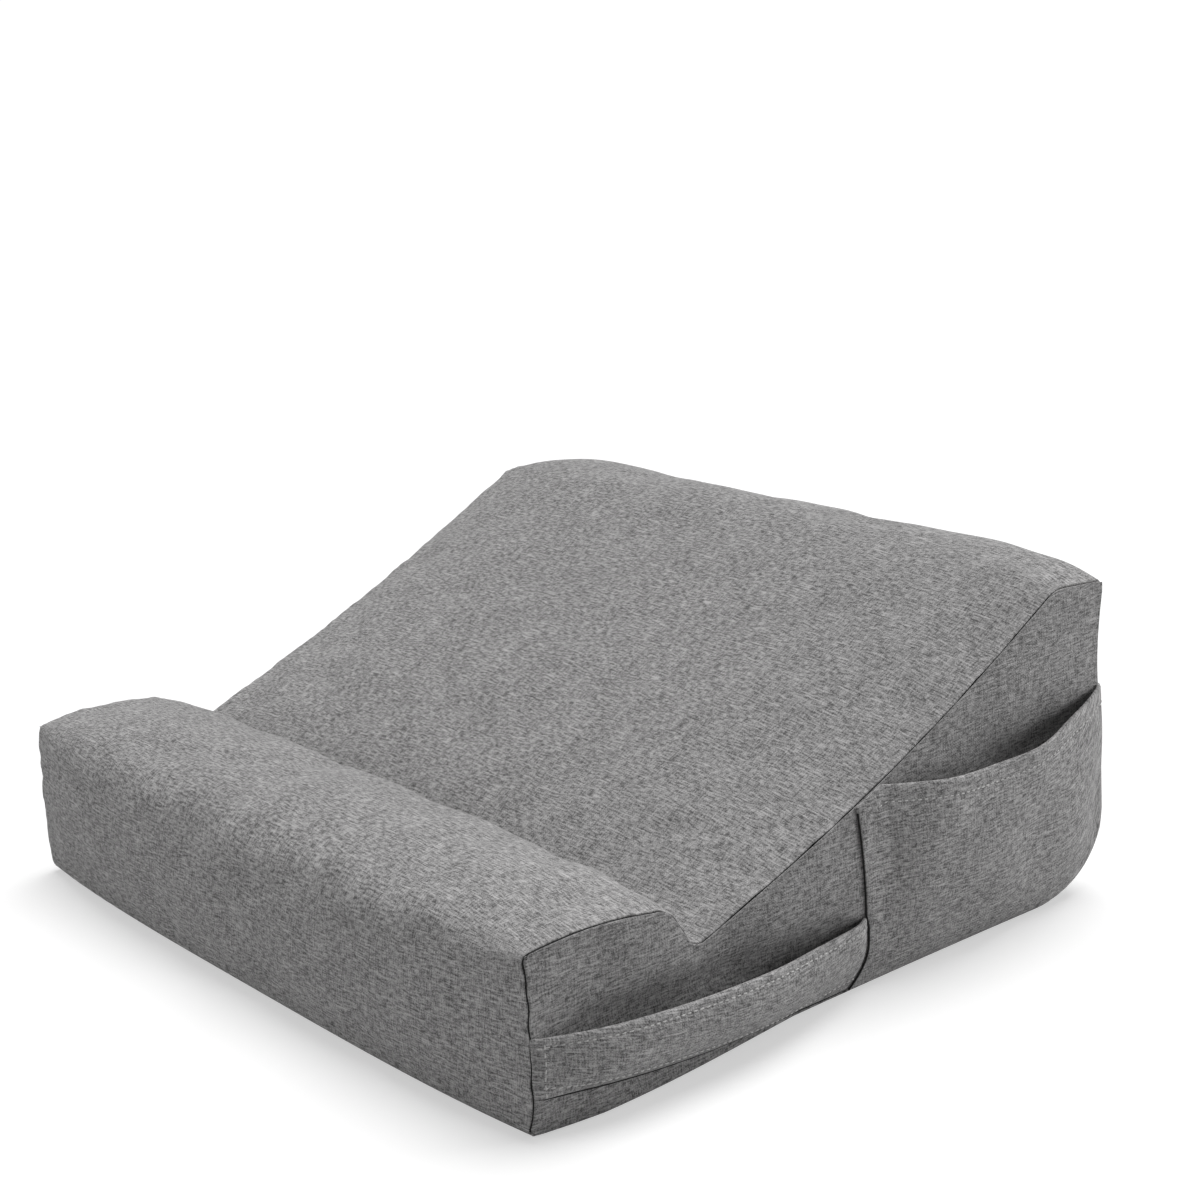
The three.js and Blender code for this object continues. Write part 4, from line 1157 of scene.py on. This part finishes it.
def on_pocket(grid, s, t):
    columns, rows = grid.shape[:2]
    column, row = s * (columns - 1), t * (rows - 1)
    c, r = np.minimum(column.astype(int), columns - 2), np.minimum(row.astype(int), rows - 2)
    a, b = (column - c)[:, None], (row - r)[:, None]
    facing = grid_normals(grid)
    facing = facing * np.sign(facing[..., :1])
    lifted = grid + facing * STITCH_LIFT
    low = lifted[c, r] * (1 - a) + lifted[c + 1, r] * a
    high = lifted[c, r + 1] * (1 - a) + lifted[c + 1, r + 1] * a
    return low * (1 - b) + high * b


def pocket_row(grid, shape, first, last, share_of):
    s = np.linspace(first, last, 160)
    foot, mouth, _ = shape.rims(s)
    return on_pocket(grid, s, share_of(mouth - foot))


def end_row(grid, s):
    return on_pocket(grid, np.full(60, s), np.linspace(END_ROW_LOW, END_ROW_HIGH, 60))


# Path of the painted gap shade between the two pockets
def pocket_edge_path():
    z = np.linspace(EDGE_LOW, EDGE_HIGH, 90)
    y = pocket_seam(z) - POCKET_OVERLAP / 2
    below_rim = z < seam_height(y) - EDGE_RIM_MARGIN
    z, y = z[below_rim], y[below_rim]
    proud = np.interp(z, EDGE_HEIGHTS, EDGE_LIFTS)
    return np.stack([side_reach(y, z) + proud, y, z], axis=-1)


# Path of the painted shadow under the front pocket's foot
def pocket_foot_path(grid):
    return grid[:-2, 0] - FOOT_SHADE_LINE_DROP


def seam_path(sign):
    line = np.concatenate([seam_top[:-1], seam_base[1:], seam_top[:1]])
    normals = np.concatenate([seam_top_normals[:-1], seam_base_normals[1:], seam_top_normals[:1]])
    x = side_reach(line[:, 0], np.maximum(line[:, 1], 0))
    depth = np.interp(np.arange(len(line)), *zip(*SEAM_DEPTHS))[:, None]
    inward = np.concatenate([np.ones((len(line), 1)), normals], axis=-1) * depth / math.sqrt(2)
    path = np.concatenate([x[:, None], line], axis=-1) - inward
    return path * np.array([sign, 1, 1])


def hem_seam_path():
    path = []
    for share in np.linspace(-HEM_SEAM_SHARE, HEM_SEAM_SHARE, COLUMNS):
        line, normals = top_line(share)
        base, base_normals = base_line(share)
        place = (line[0] + base[-1]) / 2
        inward = unit(normals[0] + base_normals[-1]) * HEM_SEAM_DEPTH
        path.append((share * float(side_reach(*place)), *(place - inward)))
    return path


def zip_row(side):
    x = np.linspace(-WIDTH / 2 + SIDE_MARGIN, WIDTH / 2 - SIDE_MARGIN, 200)
    z = ZIP_MIDDLE + side * ZIP_HALF_OPENING + side * ZIP_MARGIN
    return np.stack([x, np.full_like(x, TUCKED_BACK + ZIP_STITCH_LIFT), np.full_like(x, z)], axis=-1)


print("side seam", round(float(run_length(seam_path(1))[-1]), 3), "m long")

# %% [markdown]
# Two kinds of sewing show. A near-black thread lies at the bottom of each seam: round both side panels,
# along the front hem, between the two pockets and under the foot of the front one. Its colour is painted
# shade for the seam crevices, the gap between the pockets and the step under the foot. Pale stitches hold
# both pocket hems, the foot and the front end of the front pocket, and the cover beside the zip. The paths
# of one kind become one mesh of edges, the node tree works on it, and its result is kept as a plain mesh.

# %% Seams, hems and topstitching
STITCH = {"Pitch": 0.0031, "Length": 0.0022, "Width": 0.0007}
THREAD_RADIUS = 0.00045


def sewn(name, tree, paths, finish, **sizes):
    points, edges = [], []
    for path in paths:
        first = len(points)
        points += [tuple(p) for p in path]
        edges += [(first + k, first + k + 1) for k in range(len(path) - 1)]
    mesh = bpy.data.meshes.new(name + " path")
    mesh.from_pydata(points, edges, [])
    guide = added(name + " path", mesh)
    nodes = guide.modifiers.new("sewing", "NODES")
    nodes.node_group = tree
    given = {"Finish": finish, **sizes}
    for item in tree.interface.items_tree:
        if item.in_out == "INPUT" and item.name in given:
            nodes[item.identifier] = given[item.name]
    ready = guide.evaluated_get(bpy.context.evaluated_depsgraph_get())
    result = bpy.data.meshes.new_from_object(ready)
    result.name = name
    bpy.data.objects.remove(guide)
    print(name, len(result.polygons), "faces on", len(paths), "paths")
    return added(name, result)


# Near-black lines of painted shade along the seams, between the pockets and under the foot
seam_shade_lines = [seam_path(1), seam_path(-1), hem_seam_path(), pocket_edge_path(),
              pocket_foot_path(front_pocket_grid)]
pale_rows = [pocket_row(front_pocket_grid, FRONT_POCKET, 0.01, 0.99, lambda h: 1 - FRONT_POCKET.hem / h),
             pocket_row(rear_pocket_grid, REAR_POCKET, 0.07, 0.99, lambda h: 1 - REAR_POCKET.hem / h),
             pocket_row(front_pocket_grid, FRONT_POCKET, 0.02, 0.99, lambda h: FOOT_MARGIN / h),
             end_row(front_pocket_grid, 0.02)]
seam_threads_and_shade = sewn("seam_threads_and_shade", SEAM_THREAD, seam_shade_lines, seam_shade_thread, Radius=THREAD_RADIUS)
hem_stitches = sewn("hem_stitches", STITCH_RUN, pale_rows, pale_thread, **STITCH)
zip_stitches = sewn("zip_stitches", STITCH_RUN, [zip_row(1), zip_row(-1)], pale_thread, **STITCH)

# %% [markdown]
# Now every piece takes its finish and rides on a body of the frame, and the solid that it stands for is
# hidden. The slider runs along the teeth and the pull swings on the slider. All else stays with the cushion.

# %% Finishes and bodies
HARD_FINISH = {"teeth": teeth_finish, "metal": metal_finish}
DRESSED = [
    (cover_top, "top_panel", "top_cloth", cover_cloth, "cushion"),
    (cover_base, "base_panel", "base_cloth", base_cloth, "cushion"),
    (cover_right, "right_side_panel", "side_cloth", side_cloth, "cushion"),
    (cover_left, "left_side_panel", "side_cloth", side_cloth, "cushion"),
    (pocket_front, "front_pocket", "pocket_cloth", pocket_cloth, "cushion"),
    (pocket_rear, "rear_pocket", "pocket_cloth", pocket_cloth, "cushion"),
    (foam_wedge, "foam_core", "foam", foam_finish, "cushion"),
    (tape_upper, "zip_tape_upper", "tape", tape_cloth, "cushion"),
    (tape_lower, "zip_tape_lower", "tape", tape_cloth, "cushion"),
]
DRESSED += [(hard_parts[name], node, slot, HARD_FINISH[slot], body)
            for name, (node, _, slot, body) in HARD_PARTS.items()]
SEWING = [(seam_threads_and_shade, "side_cloth"), (hem_stitches, "pocket_cloth"), (zip_stitches, "base_cloth")]
for piece, node, slot, finish, body in DRESSED:
    piece.data.materials.append(finish)
    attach(piece, body)
    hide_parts(node)
for piece, slot in SEWING:
    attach(piece, "cushion")

print("dressed", len(DRESSED) + len(SEWING), "pieces")

# %% [markdown]
# The floor is a pale sheet that keeps the soft shadow under the cushion. Seen straight by the camera or in a
# reflection, floor and sky are white, and to the cushion they are only mild fill light, so a colour looks
# about as it is written. One softbox stands behind the right side, one before the left, and a wide light
# above gives the shadow its soft edge.

# %% Floor and light
WHITE, FLOOR_TONE = (1.0, 1.0, 1.0, 1.0), (0.6, 0.6, 0.6, 1.0)
FLOOR_HALF, FLOOR_HEIGHT, FLOOR_GLOW = 30.0, -0.0003, 0.5
FLOOR_CORNERS = [(-1, -1), (1, -1), (1, 1), (-1, 1)]
SKY_SEEN, SKY_FILL = 1.0, 0.12
AIM = np.array([0, 0, 0.07])


def seen_directly(start):
    camera_ray, glossy_ray, glass_ray = (start.node("ShaderNodeLightPath", name) for name in
                                         ("Is Camera Ray", "Is Glossy Ray", "Is Transmission Ray"))
    return camera_ray.at_least(glossy_ray.at_least(glass_ray))


def close_surface(tree, mixed, kind):
    output = tree.nodes.new(kind)
    tree.links.new(mixed.socket, output.inputs["Surface"])


def pale_floor():
    mesh = bpy.data.meshes.new("floor")
    corners = [(x * FLOOR_HALF, y * FLOOR_HALF, FLOOR_HEIGHT) for x, y in FLOOR_CORNERS]
    mesh.from_pydata(corners, [], [(0, 1, 2, 3)])
    floor = added("floor", mesh)
    finish = bpy.data.materials.new("pale floor")
    finish.use_nodes = True
    tree = finish.node_tree
    tree.nodes.clear()
    start = Shade(tree)
    matt = start.node("ShaderNodeBsdfDiffuse", 0, None, {"Color": FLOOR_TONE})
    glow = start.node("ShaderNodeEmission", 0, None, {"Color": WHITE, "Strength": FLOOR_GLOW})
    lit = start.node("ShaderNodeAddShader", 0, None, {0: matt, 1: glow})
    mixed = start.node("ShaderNodeMixShader", 0, None, {0: seen_directly(start), 1: matt, 2: lit})
    close_surface(tree, mixed, "ShaderNodeOutputMaterial")
    mesh.materials.append(finish)


def soft_lamp(name, place, size, power):
    lamp = bpy.data.lights.new(name, "AREA")
    lamp.size = size
    lamp.energy = power
    back = unit(np.array(place, float) - AIM)
    side = unit(np.cross([0.0, 1.0, 0.0], back))
    axes = np.stack([side, np.cross(back, side), back], axis=1)
    turn = Matrix(axes.tolist()).to_4x4()
    turn.translation = place
    added(name, lamp).matrix_world = turn


def wide_light(name, toward, spread, strength):
    lamp = bpy.data.lights.new(name, "SUN")
    lamp.angle = math.radians(spread)
    lamp.energy = strength
    added(name, lamp).rotation_euler = Vector(toward).to_track_quat("Z", "Y").to_euler()


def sky():
    world = bpy.data.worlds.new("studio")
    scene.world = world
    world.use_nodes = True
    tree = world.node_tree
    tree.nodes.clear()
    start = Shade(tree)
    bright, fill = (start.node("ShaderNodeBackground", 0, None, {"Color": WHITE, "Strength": strength})
                    for strength in (SKY_SEEN, SKY_FILL))
    mixed = start.node("ShaderNodeMixShader", 0, None, {0: seen_directly(start), 1: fill, 2: bright})
    close_surface(tree, mixed, "ShaderNodeOutputWorld")


pale_floor()
sky()
soft_lamp("right rear softbox", (1.0, 1.25, 0.33), 0.6, 9.0)
soft_lamp("front left softbox", (-0.9, -1.9, 0.7), 1.2, 9.0)
wide_light("overhead light", (-0.12, 0.32, 1.0), 45, 2.6)
print("lit by", len(bpy.data.lights), "lamps and a white sky")

# %% [markdown]
# The camera stands to the right of the cushion's front and looks down a little. Its place, turn and lens
# were fitted to points in the photograph, so the render lies over it.

# %% Camera
LENS_SHARE = 2397.9 / 1200
CAMERA_PLACE = (0.86715, -0.63721, 0.44719)
AZIMUTH, ELEVATION, ROLL_TURN = (math.radians(a) for a in (52.16, 16.14, -4.15))
eye = bpy.data.cameras.new("camera")
eye.sensor_fit = "HORIZONTAL"
eye.lens = LENS_SHARE * eye.sensor_width
camera = added("camera", eye)
behind = np.array([math.sin(AZIMUTH) * math.cos(ELEVATION), -math.cos(AZIMUTH) * math.cos(ELEVATION),
                   math.sin(ELEVATION)])
level = np.array([math.cos(AZIMUTH), math.sin(AZIMUTH), 0.0])
upright = np.cross(behind, level)
right_hand = math.cos(ROLL_TURN) * level + math.sin(ROLL_TURN) * upright
overhead = -math.sin(ROLL_TURN) * level + math.cos(ROLL_TURN) * upright
pose = Matrix(np.stack([right_hand, overhead, behind], axis=1).tolist()).to_4x4()
pose.translation = CAMERA_PLACE
camera.matrix_world = pose
scene.camera = camera
scene.view_settings.view_transform = "Standard"
print("lens", round(eye.lens, 2), "mm")

# %% [markdown]
